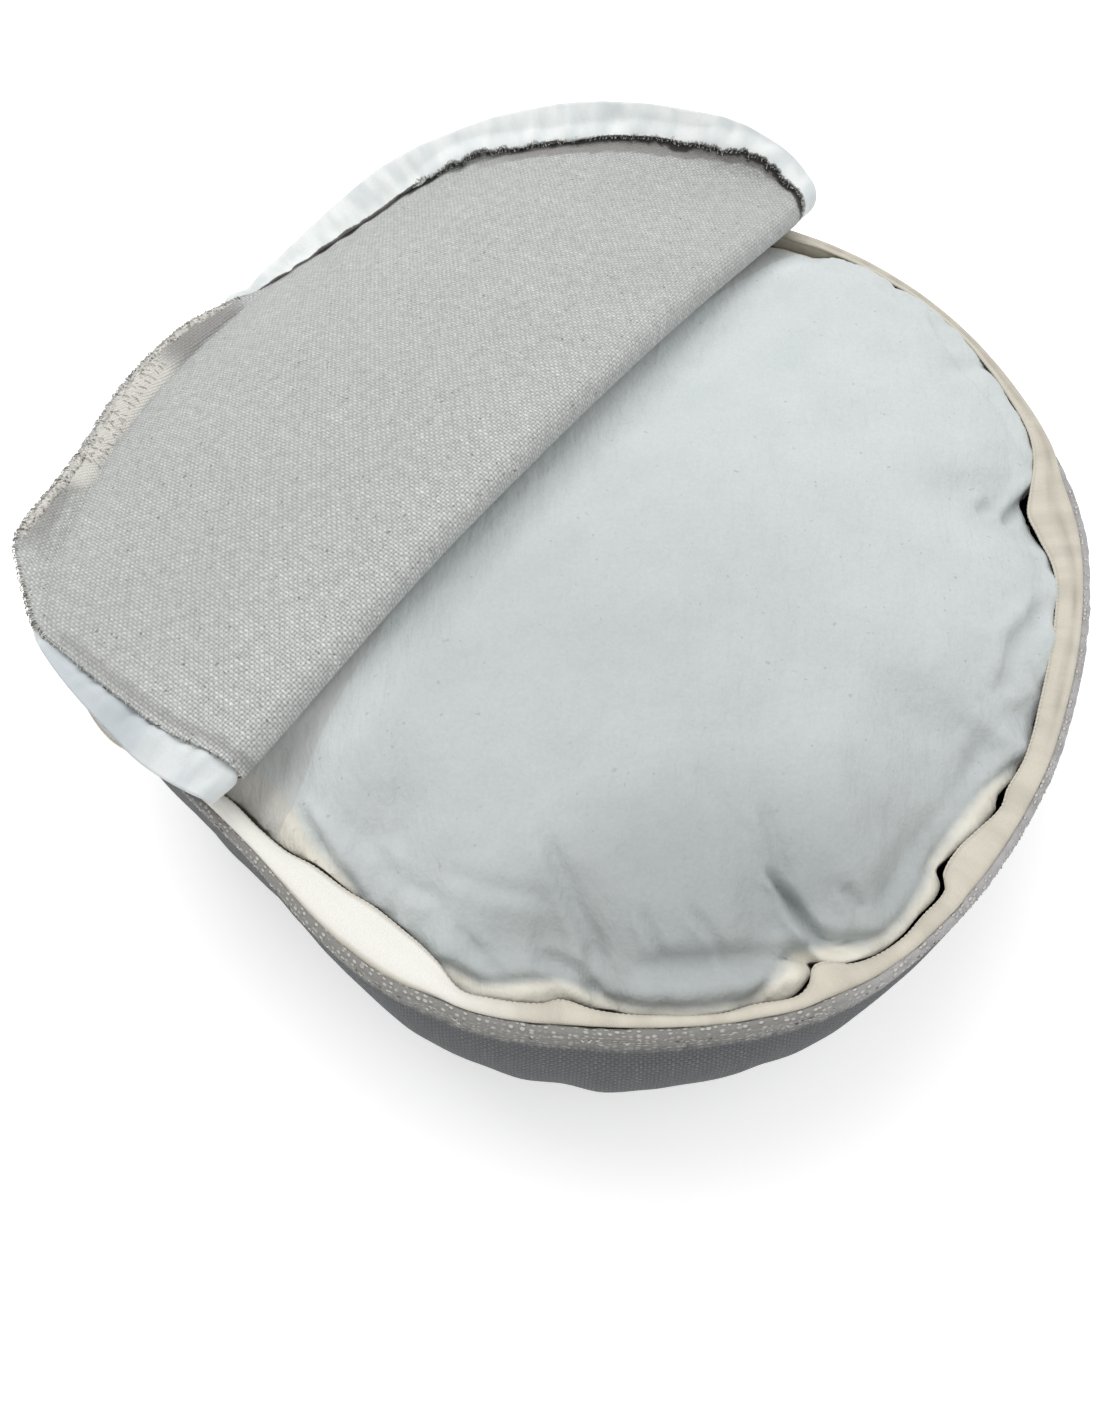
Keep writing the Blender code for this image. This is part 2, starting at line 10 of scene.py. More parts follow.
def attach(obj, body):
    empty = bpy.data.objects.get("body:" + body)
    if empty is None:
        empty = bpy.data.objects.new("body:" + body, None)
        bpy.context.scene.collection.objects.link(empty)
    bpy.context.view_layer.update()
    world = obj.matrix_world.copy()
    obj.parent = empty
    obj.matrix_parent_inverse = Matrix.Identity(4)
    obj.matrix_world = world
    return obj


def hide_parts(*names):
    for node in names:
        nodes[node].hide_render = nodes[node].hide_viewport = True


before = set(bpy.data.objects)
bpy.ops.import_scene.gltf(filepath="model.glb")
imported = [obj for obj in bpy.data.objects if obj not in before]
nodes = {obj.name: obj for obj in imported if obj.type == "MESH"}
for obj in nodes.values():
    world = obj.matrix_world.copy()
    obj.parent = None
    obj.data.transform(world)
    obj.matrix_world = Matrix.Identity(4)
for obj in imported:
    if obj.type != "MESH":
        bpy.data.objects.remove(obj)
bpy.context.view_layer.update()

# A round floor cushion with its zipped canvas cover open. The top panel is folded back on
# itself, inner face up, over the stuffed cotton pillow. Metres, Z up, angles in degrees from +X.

chance = random.Random(17)


cover = {
    "rimHeight": 0.1,
    "rimRadius": 0.175,
    "canvas": 0.0018,  # thickness of the canvas
    "tape": 0.0011,
    "seamGap": 0.0003,
    "footRound": 0.011,
    "footFlat": 0.01,
    "lowRadius": 0.172,
    "bulge": 0.0085,
    "flattenBy": 0.55,  # share of the bulge lost where the rim is pulled in
    "flattenOver": 0.015,
}

rimRows = [
    # angle, radius, sink
    (0, 0.1745, 0.0), (22, 0.174, 0.0), (45, 0.174, 0.0), (66, 0.171, 0.001), (90, 0.17, 0.006),
    (115, 0.168, 0.012), (140, 0.1665, 0.016), (165, 0.168, 0.017), (185, 0.169, 0.011),
    (200, 0.167, 0.003), (211, 0.1615, 0.0), (222, 0.156, 0.0), (232, 0.155, 0.0), (242, 0.16, 0.0),
    (252, 0.165, 0.0), (264, 0.171, 0.0), (278, 0.1737, 0.0), (292, 0.1765, 0.0), (306, 0.1755, 0.0),
    (322, 0.1715, 0.0), (338, 0.1715, 0.0), (350, 0.1725, 0.0),
]

panelEdgeRows = [
    # angle, set back from the rim, lift over it
    (0, 0.0045, 0.003), (20, 0.0045, 0.0036), (36, 0.003, 0.005), (50, -0.001, 0.006),
    (62, 0.0005, 0.006), (74, 0.0008, 0.0034), (120, 0.0006, 0.0033), (178, 0.0006, 0.0036),
    (192, 0.003, 0.0056), (206, 0.007, 0.0066), (216, 0.011, 0.007), (226, 0.0122, 0.0068),
    (238, 0.014, 0.006), (246, 0.015, 0.005), (256, 0.012, 0.004), (262, 0.009, 0.003),
    (268, 0.013, 0.003), (276, 0.0175, 0.003), (286, 0.0215, 0.003), (298, 0.02, 0.003),
    (310, 0.015, 0.003), (322, 0.0105, 0.003), (334, 0.0065, 0.003),
]


def smooth(share):
    share = min(1.0, max(0.0, share))
    return share * share * (3 - 2 * share)


def window(value, low, high, easeIn, easeOut):
    # rises from 0 to 1 just past low, and falls back to 0 by high
    return smooth((value - low) / easeIn) * smooth((high - value) / easeOut)


def through(rows, column, place):
    # a smooth curve through one column of a table, held past both ends
    if place <= rows[0][0]:
        return rows[0][column]
    if place >= rows[-1][0]:
        return rows[-1][column]
    index = next(i for i in range(len(rows) - 1) if place <= rows[i + 1][0])
    start, end = rows[index], rows[index + 1]
    span = end[0] - start[0]
    slopeIn = slopeOut = 0.0
    if index > 0:
        slopeIn = (end[column] - rows[index - 1][column]) / (end[0] - rows[index - 1][0]) * span
    else:
        slopeIn = end[column] - start[column]
    if index < len(rows) - 2:
        slopeOut = (rows[index + 2][column] - start[column]) / (rows[index + 2][0] - start[0]) * span
    else:
        slopeOut = end[column] - start[column]
    t = (place - start[0]) / span
    return (
        (2 * t**3 - 3 * t**2 + 1) * start[column]
        + (t**3 - 2 * t**2 + t) * slopeIn
        + (3 * t**2 - 2 * t**3) * end[column]
        + (t**3 - t**2) * slopeOut
    )


def readOff(values, share):
    # the value at a share of the way through evenly spaced values
    place = share * (len(values) - 1)
    step = min(int(place), len(values) - 2)
    return values[step] + (values[step + 1] - values[step]) * (place - step)


def roundCurve(rows, column, steps=1440):
    # a curve through one column right round the cushion, as a quick function of the angle
    around = [(row[0] + turn,) + tuple(row[1:]) for turn in (-360, 0, 360) for row in rows]
    values = [through(around, column, 360 * step / steps) for step in range(steps + 1)]
    return lambda angle: readOff(values, (angle % 360) / 360)


def lineCurve(rows, column, steps=800):
    # the same from a table's first row to its last
    low, high = rows[0][0], rows[-1][0]
    values = [through(rows, column, low + (high - low) * step / steps) for step in range(steps + 1)]
    return lambda place: readOff(values, min(1.0, max(0.0, (place - low) / (high - low))))


rimRadius = roundCurve(rimRows, 1)
rimSink = roundCurve(rimRows, 2)
panelSetBack = roundCurve(panelEdgeRows, 1)
panelLift = roundCurve(panelEdgeRows, 2)


def rimHeight(angle):
    return cover["rimHeight"] - rimSink(angle)


# The side as it hangs in the photo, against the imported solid's.
sideRows = [
    # angle, rim moved out, share of the swell kept
    (-180, 0.0, 1.0), (-160, 0.0, 0.6), (-150, 0.0, 0.25), (-140, 0.0, 0.15), (-132, 0.0008, 0.15),
    (-126, 0.0017, 0.2), (-120, 0.0026, 0.25), (-113, 0.0042, 0.5), (-108, 0.0046, 0.75),
    (-104, 0.0034, 0.95), (-100, 0.003, 0.95), (-96, 0.002, 1.0), (-91, 0.001, 1.1), (-86, 0.001, 1.25),
    (-78, 0.0018, 1.05), (-70, 0.0028, 0.75), (-63, 0.0033, 0.4), (-58, 0.0027, 0.28),
    (-52, 0.0022, 0.2), (-46, 0.0024, 0.2), (-34, 0.0022, 0.2), (-24, 0.0008, 0.25), (-6, 0.0012, 0.1),
    (4, 0.0012, 0.05), (20, 0.0005, 0.05), (50, 0.0, 0.1), (66, 0.0, 0.5), (90, 0.0, 1.0),
    (180, 0.0, 1.0),
]

sideOut = lineCurve(sideRows, 1, 1440)
sideSwell = lineCurve(sideRows, 2, 1440)


def half(angle):
    # the same angle between -180 and 180
    return (angle + 180) % 360 - 180


def seamRadius(angle):
    # the middle of the cloth where the band ends at its rim
    return rimRadius(angle) + cover["canvas"] / 2 + sideOut(half(angle))


def bandRadius(angle, height):
    rim = rimRadius(angle) + cover["canvas"] / 2
    low = cover["lowRadius"] + rimRadius(angle) - cover["rimRadius"]
    share = min(1.0, height / rimHeight(angle))
    kept = 1 - cover["flattenBy"] * smooth((cover["rimRadius"] - rim) / cover["flattenOver"])
    swell = cover["bulge"] * kept * sideSwell(half(angle)) * math.sin(math.pi * share**2)
    return low + (seamRadius(angle) - low) * smooth(share) + swell


def polar(radius, angle, height):
    turn = math.radians(angle)
    return Vector((radius * math.cos(turn), radius * math.sin(turn), height))


def angleOf(point):
    return math.degrees(math.atan2(point.y, point.x))


def lump(x, y, z=0.0):
    return noise.noise(Vector((x, y, z)))


fold = {
    "direction": 52.0,
    "offset": 0.019,
    "bow": 0.003,
    "bowOver": 0.14,
    "radius": 0.0055,
    "crown": 0.0235,
    "layer": 0.003,  # the lower layer above the rim
    "gap": 0.0034,
    "droop": 2.0,
    "circle": 0.18,
    "step": 0.002,
    "smoothing": 12,
    "flangeWidth": 0.008,
    "flangeClear": 0.0072,
    "steepest": 0.62,
    "settle": 0.05,
}

flapEdgeRows = [
    # along the fold, height over the rim
    (-0.16, 0.012), (-0.14, 0.01), (-0.115, -0.001), (-0.085, -0.011), (-0.05, -0.017), (-0.01, -0.018),
    (0.03, -0.016), (0.065, -0.012), (0.095, -0.002), (0.12, 0.006), (0.142, 0.014), (0.16, 0.027),
    (0.175, 0.042),
]

alongFold = polar(1.0, fold["direction"], 0)
behindFold = Vector((-alongFold.y, alongFold.x, 0))
halfRoll = math.pi * fold["radius"] / 2
flatFold = fold["offset"] - halfRoll
flapEdge = lineCurve(flapEdgeRows, 1)


def panelRim(angle):
    return rimRadius(angle) - panelSetBack(angle)


def panelHeight(point):
    angle = angleOf(point)
    share = min(1.0, math.hypot(point.x, point.y) / panelRim(angle))
    base = cover["rimHeight"] + fold["layer"] + (panelLift(angle) - fold["layer"]) * share**6
    return base + fold["crown"] * (1 - share**2.2) - rimSink(angle) * share**2.2


def foldOffset(along):
    return fold["offset"] + fold["bow"] * (along / fold["bowOver"]) ** 2


def flapFloor(under):
    pastRim = under.length - rimRadius(angleOf(under))
    least = 0.0
    if pastRim < 0:
        least = panelHeight(under) + fold["gap"]
    if pastRim < fold["flangeWidth"]:
        least = max(least, rimHeight(angleOf(under)) + fold["flangeClear"])
    return least


def flapSection(along):
    # the flap cut across the fold: (distance behind the axis, height) a step of cloth apart
    reach = math.sqrt(max(0.0004, fold["circle"] ** 2 - along**2))
    longest = flatFold - halfRoll + reach
    step = fold["step"]
    count = math.ceil((fold["circle"] + flatFold) / step) + 3
    back = foldOffset(along)
    top = panelHeight(alongFold * along + behindFold * back) + 2 * fold["radius"]
    edge = cover["rimHeight"] + flapEdge(along)
    heights = [top]
    floors = [top]
    for index in range(1, count + 1):
        share = min(1.0, index * step / longest)
        floors.append(flapFloor(alongFold * along + behindFold * (back + step)))
        aim = max(top + (edge - top) * share ** fold["droop"], floors[-1])
        change = max(-fold["steepest"] * step, min(fold["steepest"] * step, aim - heights[-1]))
        heights.append(heights[-1] + change)
        back += math.sqrt(step**2 - change**2)
    last = min(count, math.ceil(longest / step) + 3)
    heights, floors = heights[: last + 1], floors[: last + 1]
    for _ in range(fold["smoothing"]):
        inner = [sum(heights[i - 1 : i + 2]) / 3 for i in range(1, last)]
        heights = [heights[0]] + inner + [2 * inner[-1] - inner[-2]]
        heights = [max(height, floor) for height, floor in zip(heights, floors)]
    section = [(foldOffset(along), top)]
    for before, after in zip(heights, heights[1:]):
        run = math.sqrt(max(step**2 / 4, step**2 - (after - before) ** 2))
        section.append((section[-1][0] + run, after))
    while len(section) < count:
        end, near = section[-1], section[-2]
        section.append((2 * end[0] - near[0], 2 * end[1] - near[1]))
    return section[:count]


sectionStep = 0.0025
sectionEnd = 0.1825
sectionCount = round(2 * sectionEnd / sectionStep)
sections = np.array([flapSection(-sectionEnd + sectionStep * i) for i in range(sectionCount + 1)])


def drape(along, back):
    # where a point of the flat panel lies on the folded one
    past = flatFold - back
    if past <= -halfRoll:
        settled = smooth(1 + (past + halfRoll) / fold["settle"])
        bow = (foldOffset(along) - fold["offset"]) * settled
        point = alongFold * along + behindFold * (back + bow)
        point.z = panelHeight(point)
        return point
    if past < halfRoll:
        turn = past / fold["radius"]
        centre = alongFold * along + behindFold * foldOffset(along)
        point = centre - behindFold * fold["radius"] * math.cos(turn)
        point.z = panelHeight(centre) + fold["radius"] * (1 + math.sin(turn))
        return point
    place = min(max((along + sectionEnd) / sectionStep, 0.0), sectionCount - 1e-6)
    column = int(place)
    depth = min((past - halfRoll) / fold["step"], sections.shape[1] - 1.001)
    row = int(depth)
    a, b = place - column, depth - row
    four = sections[column : column + 2, row : row + 2]
    found = (four[0, 0] * (1 - b) + four[0, 1] * b) * (1 - a) + (four[1, 0] * (1 - b) + four[1, 1] * b) * a
    point = alongFold * along + behindFold * found[0]
    point.z = found[1]
    return point


def flatEdge(angle, outwards=0.0):
    point = polar(panelRim(angle) + outwards, angle, 0)
    return point.dot(alongFold), point.dot(behindFold)


# The strip round the panel's edge: the canvas's seam allowance and the white tape share it.
stripRows = [
    # angle, lean up from the panel's own way, width, how far along it the canvas reaches
    (-178, 0, 0.006, 0.0), (-150, 0, 0.006, 0.0), (-138, 0, 0.009, 0.0), (-128, -4, 0.015, 0.0014),
    (-118, -6, 0.0154, 0.0045), (-104, -2, 0.0112, 0.0056), (-99, 6, 0.0078, 0.0062),
    (-96, 10, 0.0072, 0.007), (-92, 22, 0.0112, 0.0112), (-88, 34, 0.015, 0.015),
    (-83, 42, 0.0135, 0.0135), (-78, 45, 0.0115, 0.0115), (-68, 48, 0.01, 0.01),
    (-58, 48, 0.0121, 0.0121), (-50, 46, 0.013, 0.013), (-42, 42, 0.0122, 0.0122),
    (-36, 36, 0.009, 0.0086), (-31, 36, 0.0082, 0.0026), (-24, 42, 0.0108, 0.0007),
    (-16, 48, 0.0142, 0.0016), (-10, 50, 0.0152, 0.0006), (-4, 50, 0.0154, 0.0008),
    (4, 50, 0.015, 0.0055), (12, 50, 0.0156, 0.0041), (18, 46, 0.0157, 0.0031),
    (24, 42, 0.0145, 0.0026), (30, 38, 0.0131, 0.0032), (36, 36, 0.0125, 0.0022),
    (41, 35, 0.013, 0.005), (46, 32, 0.0122, 0.007), (50, 26, 0.0118, 0.006), (54, 14, 0.0095, 0.0012),
    (58, 5, 0.0075, 0.0), (66, 0, 0.0065, 0.0), (182, 0, 0.006, 0.0),
]

strip = {
    "bend": 0.003,  # length of cloth over which it bends up to its lean
    "curl": 24.0,
    "steps": 10,
    "waysEvery": 0.5,
    "waysBeside": 8,
}

stripLean, stripWidth, stripReach = [lineCurve(stripRows, column, 1440) for column in (1, 2, 3)]


def panelFrame(angle):
    # the panel's edge, with the ways out from it and up from its inner face
    edge = drape(*flatEdge(angle))
    outwards = edge - drape(*flatEdge(angle, -0.006))
    tangent = drape(*flatEdge(angle + 1.5)) - drape(*flatEdge(angle - 1.5))
    past = flatFold - flatEdge(angle)[1]
    outwards.z *= smooth(past / halfRoll - 1)
    tangent.normalize()
    outwards = (outwards - tangent * outwards.dot(tangent)).normalized()
    return outwards, tangent.cross(outwards)


waysCount = round(360 / strip["waysEvery"]) + 1
stripWays = [panelFrame(-178 + strip["waysEvery"] * step) for step in range(waysCount)]


def evenWays():
    # each pair of ways averaged with those beside it
    even = []
    for step in range(len(stripWays)):
        beside = stripWays[max(0, step - strip["waysBeside"]) : step + strip["waysBeside"] + 1]
        even.append([sum((ways[k] for ways in beside), Vector()).normalized() for k in (0, 1)])
    return even


stripWays = evenWays()


def stripPoint(angle, distance, rise=0.0):
    # a point of the strip: its distance out from the panel's edge, and its height above the cloth
    angle = (angle + 178) % 360 - 178
    edge = drape(*flatEdge(angle))
    place = (angle + 178) / strip["waysEvery"]
    step = min(int(place), len(stripWays) - 2)
    share = place - step
    outwards, inside = [stripWays[step][k].lerp(stripWays[step + 1][k], share) for k in (0, 1)]
    if distance <= 0:
        return edge + outwards * distance + inside * rise
    lean, width = stripLean(angle), stripWidth(angle)
    length = distance / strip["steps"]
    across = up = 0.0
    for index in range(strip["steps"]):
        so = (index + 0.5) * length
        heading = lean * 1.05 * smooth(0.25 + so / strip["bend"])
        heading = math.radians(heading + strip["curl"] * smooth(lean / 30) * (0.45 - so / width))
        across += math.cos(heading) * length
        up += math.sin(heading) * length
    across -= math.sin(heading) * rise
    up += math.cos(heading) * rise
    return edge + outwards * across + inside * up


print("fold worked out")


class Wire:
    # a node's output that can be used in sums
    def __init__(self, finish, socket):
        self.finish = finish
        self.socket = socket

    def math(self, operation, *others):
        values = dict(enumerate((self,) + others))
        return self.finish.node("ShaderNodeMath", {"operation": operation}, values)

    def backwards(self, operation, other):
        return self.finish.node("ShaderNodeMath", {"operation": operation}, {0: other, 1: self})

    def __add__(self, other):
        return self.math("ADD", other)

    def __radd__(self, other):
        return self.backwards("ADD", other)

    def __sub__(self, other):
        return self.math("SUBTRACT", other)

    def __rsub__(self, other):
        return self.backwards("SUBTRACT", other)

    def __mul__(self, other):
        return self.math("MULTIPLY", other)

    def __rmul__(self, other):
        return self.backwards("MULTIPLY", other)

    def __truediv__(self, other):
        return self.math("DIVIDE", other)

    def __rtruediv__(self, other):
        return self.backwards("DIVIDE", other)


class Finish:
    # one material: a Principled shader and the nodes that feed it
    def __init__(self, name, roughness, sheen=0.0):
        self.material = bpy.data.materials.new(name)
        self.material.use_nodes = True
        self.nodes = self.material.node_tree.nodes
        self.links = self.material.node_tree.links
        self.shader = self.nodes["Principled BSDF"]
        self.shader.inputs["Roughness"].default_value = roughness
        self.shader.inputs["Sheen Weight"].default_value = sheen
        self.shader.inputs["Specular IOR Level"].default_value = 0.25

    def node(self, kind, settings, values, output=0):
        made = self.nodes.new(kind)
        for name, value in settings.items():
            if name == "stops":
                for stop in value[2:]:
                    made.color_ramp.elements.new(stop[0])
                for element, stop in zip(made.color_ramp.elements, value):
                    element.position = stop[0]
                    element.color = stop[1]
            else:
                setattr(made, name, value)
        for name, value in values.items():
            if isinstance(value, Wire):
                self.links.new(value.socket, made.inputs[name])
            else:
                made.inputs[name].default_value = value
        return Wire(self, made.outputs[output])

    def cloth(self, size):
        # the flat cloth's own two directions in metres, centred on the piece
        flat = self.node("ShaderNodeUVMap", {"uv_map": "cloth"}, {})
        values = {"Vector": flat, "Location": (-size / 2, -size / 2, 0), "Scale": (size, size, 1)}
        return self.node("ShaderNodeMapping", {}, values)

    def place(self):
        return self.node("ShaderNodeTexCoord", {}, {}, output=3)

    def mark(self, name):
        # a number that the piece's own points carry: a share from 0 to 1, or a distance in metres
        return self.node("ShaderNodeAttribute", {"attribute_name": name}, {}, output=2)

    def parts(self, vector):
        split = self.node("ShaderNodeSeparateXYZ", {}, {"Vector": vector})
        outputs = split.socket.node.outputs
        return [Wire(self, outputs[i]) for i in range(3)]

    def noise(self, vector, size, detail=2.0, rough=0.5):
        # size is the real size of its lumps
        return self.node(
            "ShaderNodeTexNoise",
            {"normalize": True},
            {"Vector": vector, "Scale": 1 / size, "Detail": detail, "Roughness": rough},
        )

    def stretch(self, vector, amounts, turn=0.0, move=0.0):
        moved = {"Location": (move, move, 0), "Rotation": (0, 0, turn), "Scale": amounts}
        return self.node("ShaderNodeMapping", {}, {"Vector": vector, **moved})

    def beads(self, vector):
        # the distance from the middle of the nearest bead, about one unit apart
        return self.node("ShaderNodeTexVoronoi", {}, {"Vector": vector, "Scale": 1.0, "Randomness": 0.55})

    def ramp(self, value, low, high):
        return self.node(
            "ShaderNodeMapRange",
            {"interpolation_type": "SMOOTHSTEP"},
            {"Value": value, "From Min": low, "From Max": high},
        )

    def blend(self, share, first, second):
        first = first + (1,) if isinstance(first, tuple) else first
        second = second + (1,) if isinstance(second, tuple) else second
        return self.node("ShaderNodeMix", {"data_type": "RGBA"}, {0: share, 6: first, 7: second}, output=2)

    def tint(self, colour, amount):
        # colour made lighter or darker by an amount near 1
        grey = self.node("ShaderNodeCombineColor", {}, {0: amount, 1: amount, 2: amount})
        kind = {"data_type": "RGBA", "blend_type": "MULTIPLY"}
        return self.node("ShaderNodeMix", kind, {0: 1.0, 6: colour, 7: grey}, output=2)

    def finish(self, colour, height=None, depth=0.0, roughness=None):
        self.links.new(colour.socket, self.shader.inputs["Base Color"])
        if roughness is not None:
            self.links.new(roughness.socket, self.shader.inputs["Roughness"])
        if height is not None:
            bump = self.node("ShaderNodeBump", {}, {"Height": height, "Distance": depth, "Strength": 1.0})
            self.links.new(bump.socket, self.shader.inputs["Normal"])
        return self.material


def canvasFinish(name, look):
    # plain weave: warp threads over and under weft threads, uneven in thickness and colour
    finish = Finish(name, 0.92, sheen=look["sheen"])
    flat = finish.cloth(look["size"])
    pitch = look["pitch"]
    wander = finish.noise(flat, pitch * 7, detail=3.0, rough=0.6)
    other = finish.noise(finish.stretch(flat, (1, 1, 1), move=0.37), pitch * 8, detail=3.0, rough=0.6)
    u, v, _ = finish.parts(flat)
    a = u / pitch + (wander - 0.5) * look["wander"]
    b = v / pitch + (other - 0.5) * look["wander"]
    column = a.math("FLOOR")
    row = b.math("FLOOR")
    acrossWarp = ((a - column) * math.pi).math("SINE")
    acrossWeft = ((b - row) * math.pi).math("SINE")
    warpUp = ((b + column + 0.5) * math.pi).math("COSINE") * 0.5 + 0.5
    weftUp = 0.5 - ((a + row + 0.5) * math.pi).math("COSINE") * 0.5
    warp = acrossWarp.math("POWER", 0.6) * warpUp
    weft = acrossWeft.math("POWER", 0.6) * weftUp
    warpSlub = finish.noise(finish.stretch(flat, (1 / pitch, 0.07 / pitch, 1)), 1.0, detail=2.0)
    weftSlub = finish.noise(finish.stretch(flat, (0.07 / pitch, 1 / pitch, 1)), 1.0, detail=2.0)
    over = (warp * (warpSlub * 1.3 + 0.35)).math("MAXIMUM", weft * (weftSlub * 1.3 + 0.35))
    fuzz = finish.noise(flat, pitch * 0.9, detail=3.0, rough=0.7)
    coarse = finish.noise(flat, pitch * 3.2, detail=2.0, rough=0.6)
    contrast = finish.mark("near") * look["nearContrast"] + look["contrast"]
    isWarp = finish.ramp(warp - weft, -0.2, 0.2)
    colour = finish.blend(isWarp, look["weft"], look["warp"])
    colour = finish.blend(finish.ramp(warpSlub, 0.52, 0.7) * isWarp, colour, look["slub"])
    light = finish.ramp(over, -0.05, 0.75) * contrast + (1 - contrast * 0.68)
    light = light * (finish.noise(flat, 0.04, detail=3.0) * 0.14 + 0.93)
    light = light * (fuzz * look["mottle"] + (1 - look["mottle"] / 2))
    light = light * (coarse * look["blotch"] + (1 - look["blotch"] / 2))
    colour = finish.tint(colour, light)
    seeds = finish.ramp(finish.noise(flat, 0.0019, detail=1.0), 0.705, 0.75)
    colour = finish.blend(seeds * 0.7, colour, look["seed"])
    height = over + fuzz * 0.4 + coarse * 0.5
    edge = finish.mark("rim")
    bead = finish.beads(finish.stretch(flat, (1 / 0.0021, 1 / 0.00078, 1)))
    fleck = finish.ramp(bead, 0.52, 0.26) * finish.ramp(finish.noise(flat, 0.0026, detail=2.0), 0.2, 0.46)
    flecked = finish.blend(fleck, look["fleckDark"], look["fleckLight"])
    colour = finish.blend(edge * 0.9, colour, flecked)
    # painted shade, a cream painted brighter as lit, and a painted shadow line, each laid where the piece's
    # marks say
    colour = finish.blend(finish.mark("soil") * 0.82, colour, look["soil"])
    pale = finish.mark("pale") * 0.85 * (fuzz * 0.7 + 0.62)
    colour = finish.blend(pale, colour, look["pale"])
    colour = finish.blend(finish.mark("line") * 0.92, colour, look["line"])
    height = height * (1 - edge * 0.7) + fleck * edge * 1.1
    return finish.finish(colour, height, look["relief"])


flapLook = {
    "size": 0.42,
    "pitch": 0.0011,
    "wander": 1.1,
    "warp": (0.498, 0.508, 0.497),
    "weft": (0.42, 0.432, 0.426),
    "slub": (0.62, 0.62, 0.6),
    "seed": (0.17, 0.15, 0.12),
    "fleckDark": (0.3, 0.29, 0.27),
    "fleckLight": (0.56, 0.55, 0.52),
    # painted colours: a shade colour for the canvas's painted shade and darkened edge, a near-black painted
    # shadow line, and a cream painted brighter as lit
    "soil": (0.262, 0.25, 0.238),
    "line": (0.04, 0.038, 0.036),
    "pale": (0.74, 0.72, 0.66),
    "contrast": 0.27,
    "nearContrast": 0.6,
    "mottle": 0.8,
    "blotch": 0.5,
    "relief": 0.0004,
    "sheen": 0.12,
}

# the band's canvas: its darker outer face, darkened further as painted shade for its side
bandShadedLook = dict(flapLook)
bandShadedLook.update(
    {
        "size": 1.2,
        "warp": (0.116, 0.122, 0.126),
        "weft": (0.086, 0.092, 0.096),
        "slub": (0.16, 0.16, 0.16),
        "fleckDark": (0.262, 0.254, 0.24),
        "fleckLight": (0.54, 0.53, 0.495),
        # painted light: the paler colour for the rim's flecks on its right side
        "pale": (0.56, 0.55, 0.56),
        "contrast": 0.34,
        "mottle": 0.4,
        "blotch": 0.24,
        "sheen": 0.08,
    }
)


def cottonFinish():
    # plain white cotton, close woven and slightly crumpled, with tiny flecks of seed; painted shade, a
    # painted warm bounce light near its edge, a painted shadow beside the fold and a painted dark gap at the
    # tape's edge
    finish = Finish("pillowCottonFinish", 0.88, sheen=0.15)
    place = finish.place()
    mottled = finish.noise(place, 0.024, detail=4.0, rough=0.62)
    fine = finish.noise(place, 0.0013, detail=3.0, rough=0.65)
    crumple = finish.noise(place, 0.016, detail=5.0, rough=0.5)
    grain = finish.noise(finish.stretch(place, (1.0, 0.3, 1.0), turn=0.75), 0.0042, detail=3.0, rough=0.6)
    colour = finish.blend(finish.ramp(mottled, 0.3, 0.7), (0.56, 0.606, 0.602), (0.6, 0.638, 0.634))
    # painted shade from the shade mark, which paints light where it falls below zero
    light = (fine * 0.16 + 0.92) * (1 - finish.mark("shade") * 0.3)
    colour = finish.tint(colour, light)
    fleck = finish.ramp(finish.noise(place, 0.0022, detail=1.0), 0.735, 0.78)
    colour = finish.blend(fleck * 0.5, colour, (0.38, 0.36, 0.32))
    # painted warm bounce light on the pillow's side near the tape
    paintedBounce = finish.blend(finish.ramp(mottled, 0.35, 0.65), (0.7, 0.665, 0.575), (0.79, 0.76, 0.675))
    seam = finish.mark("pastSeam") + (finish.noise(place, 0.014, detail=2.0) - 0.5) * 0.004
    colour = finish.blend(finish.ramp(seam, -0.0012, 0.0024) * 0.92, colour, paintedBounce)
    # painted shadow cast by the folded panel
    paintedFoldShadow = finish.ramp(finish.mark("besideFold"), -0.0003, 0.0004) * 0.55
    colour = finish.blend(paintedFoldShadow, colour, (0.545, 0.54, 0.525))
    # painted shade: a dark gap where the pillow meets the tape's free edge
    dark = finish.ramp(finish.mark("pastReach"), -0.0013, -0.0002)
    colour = finish.blend(dark * 0.92, colour, (0.085, 0.07, 0.056))
    return finish.finish(colour, crumple * 0.6 + grain * 0.36 + fine * 0.07, 0.002)


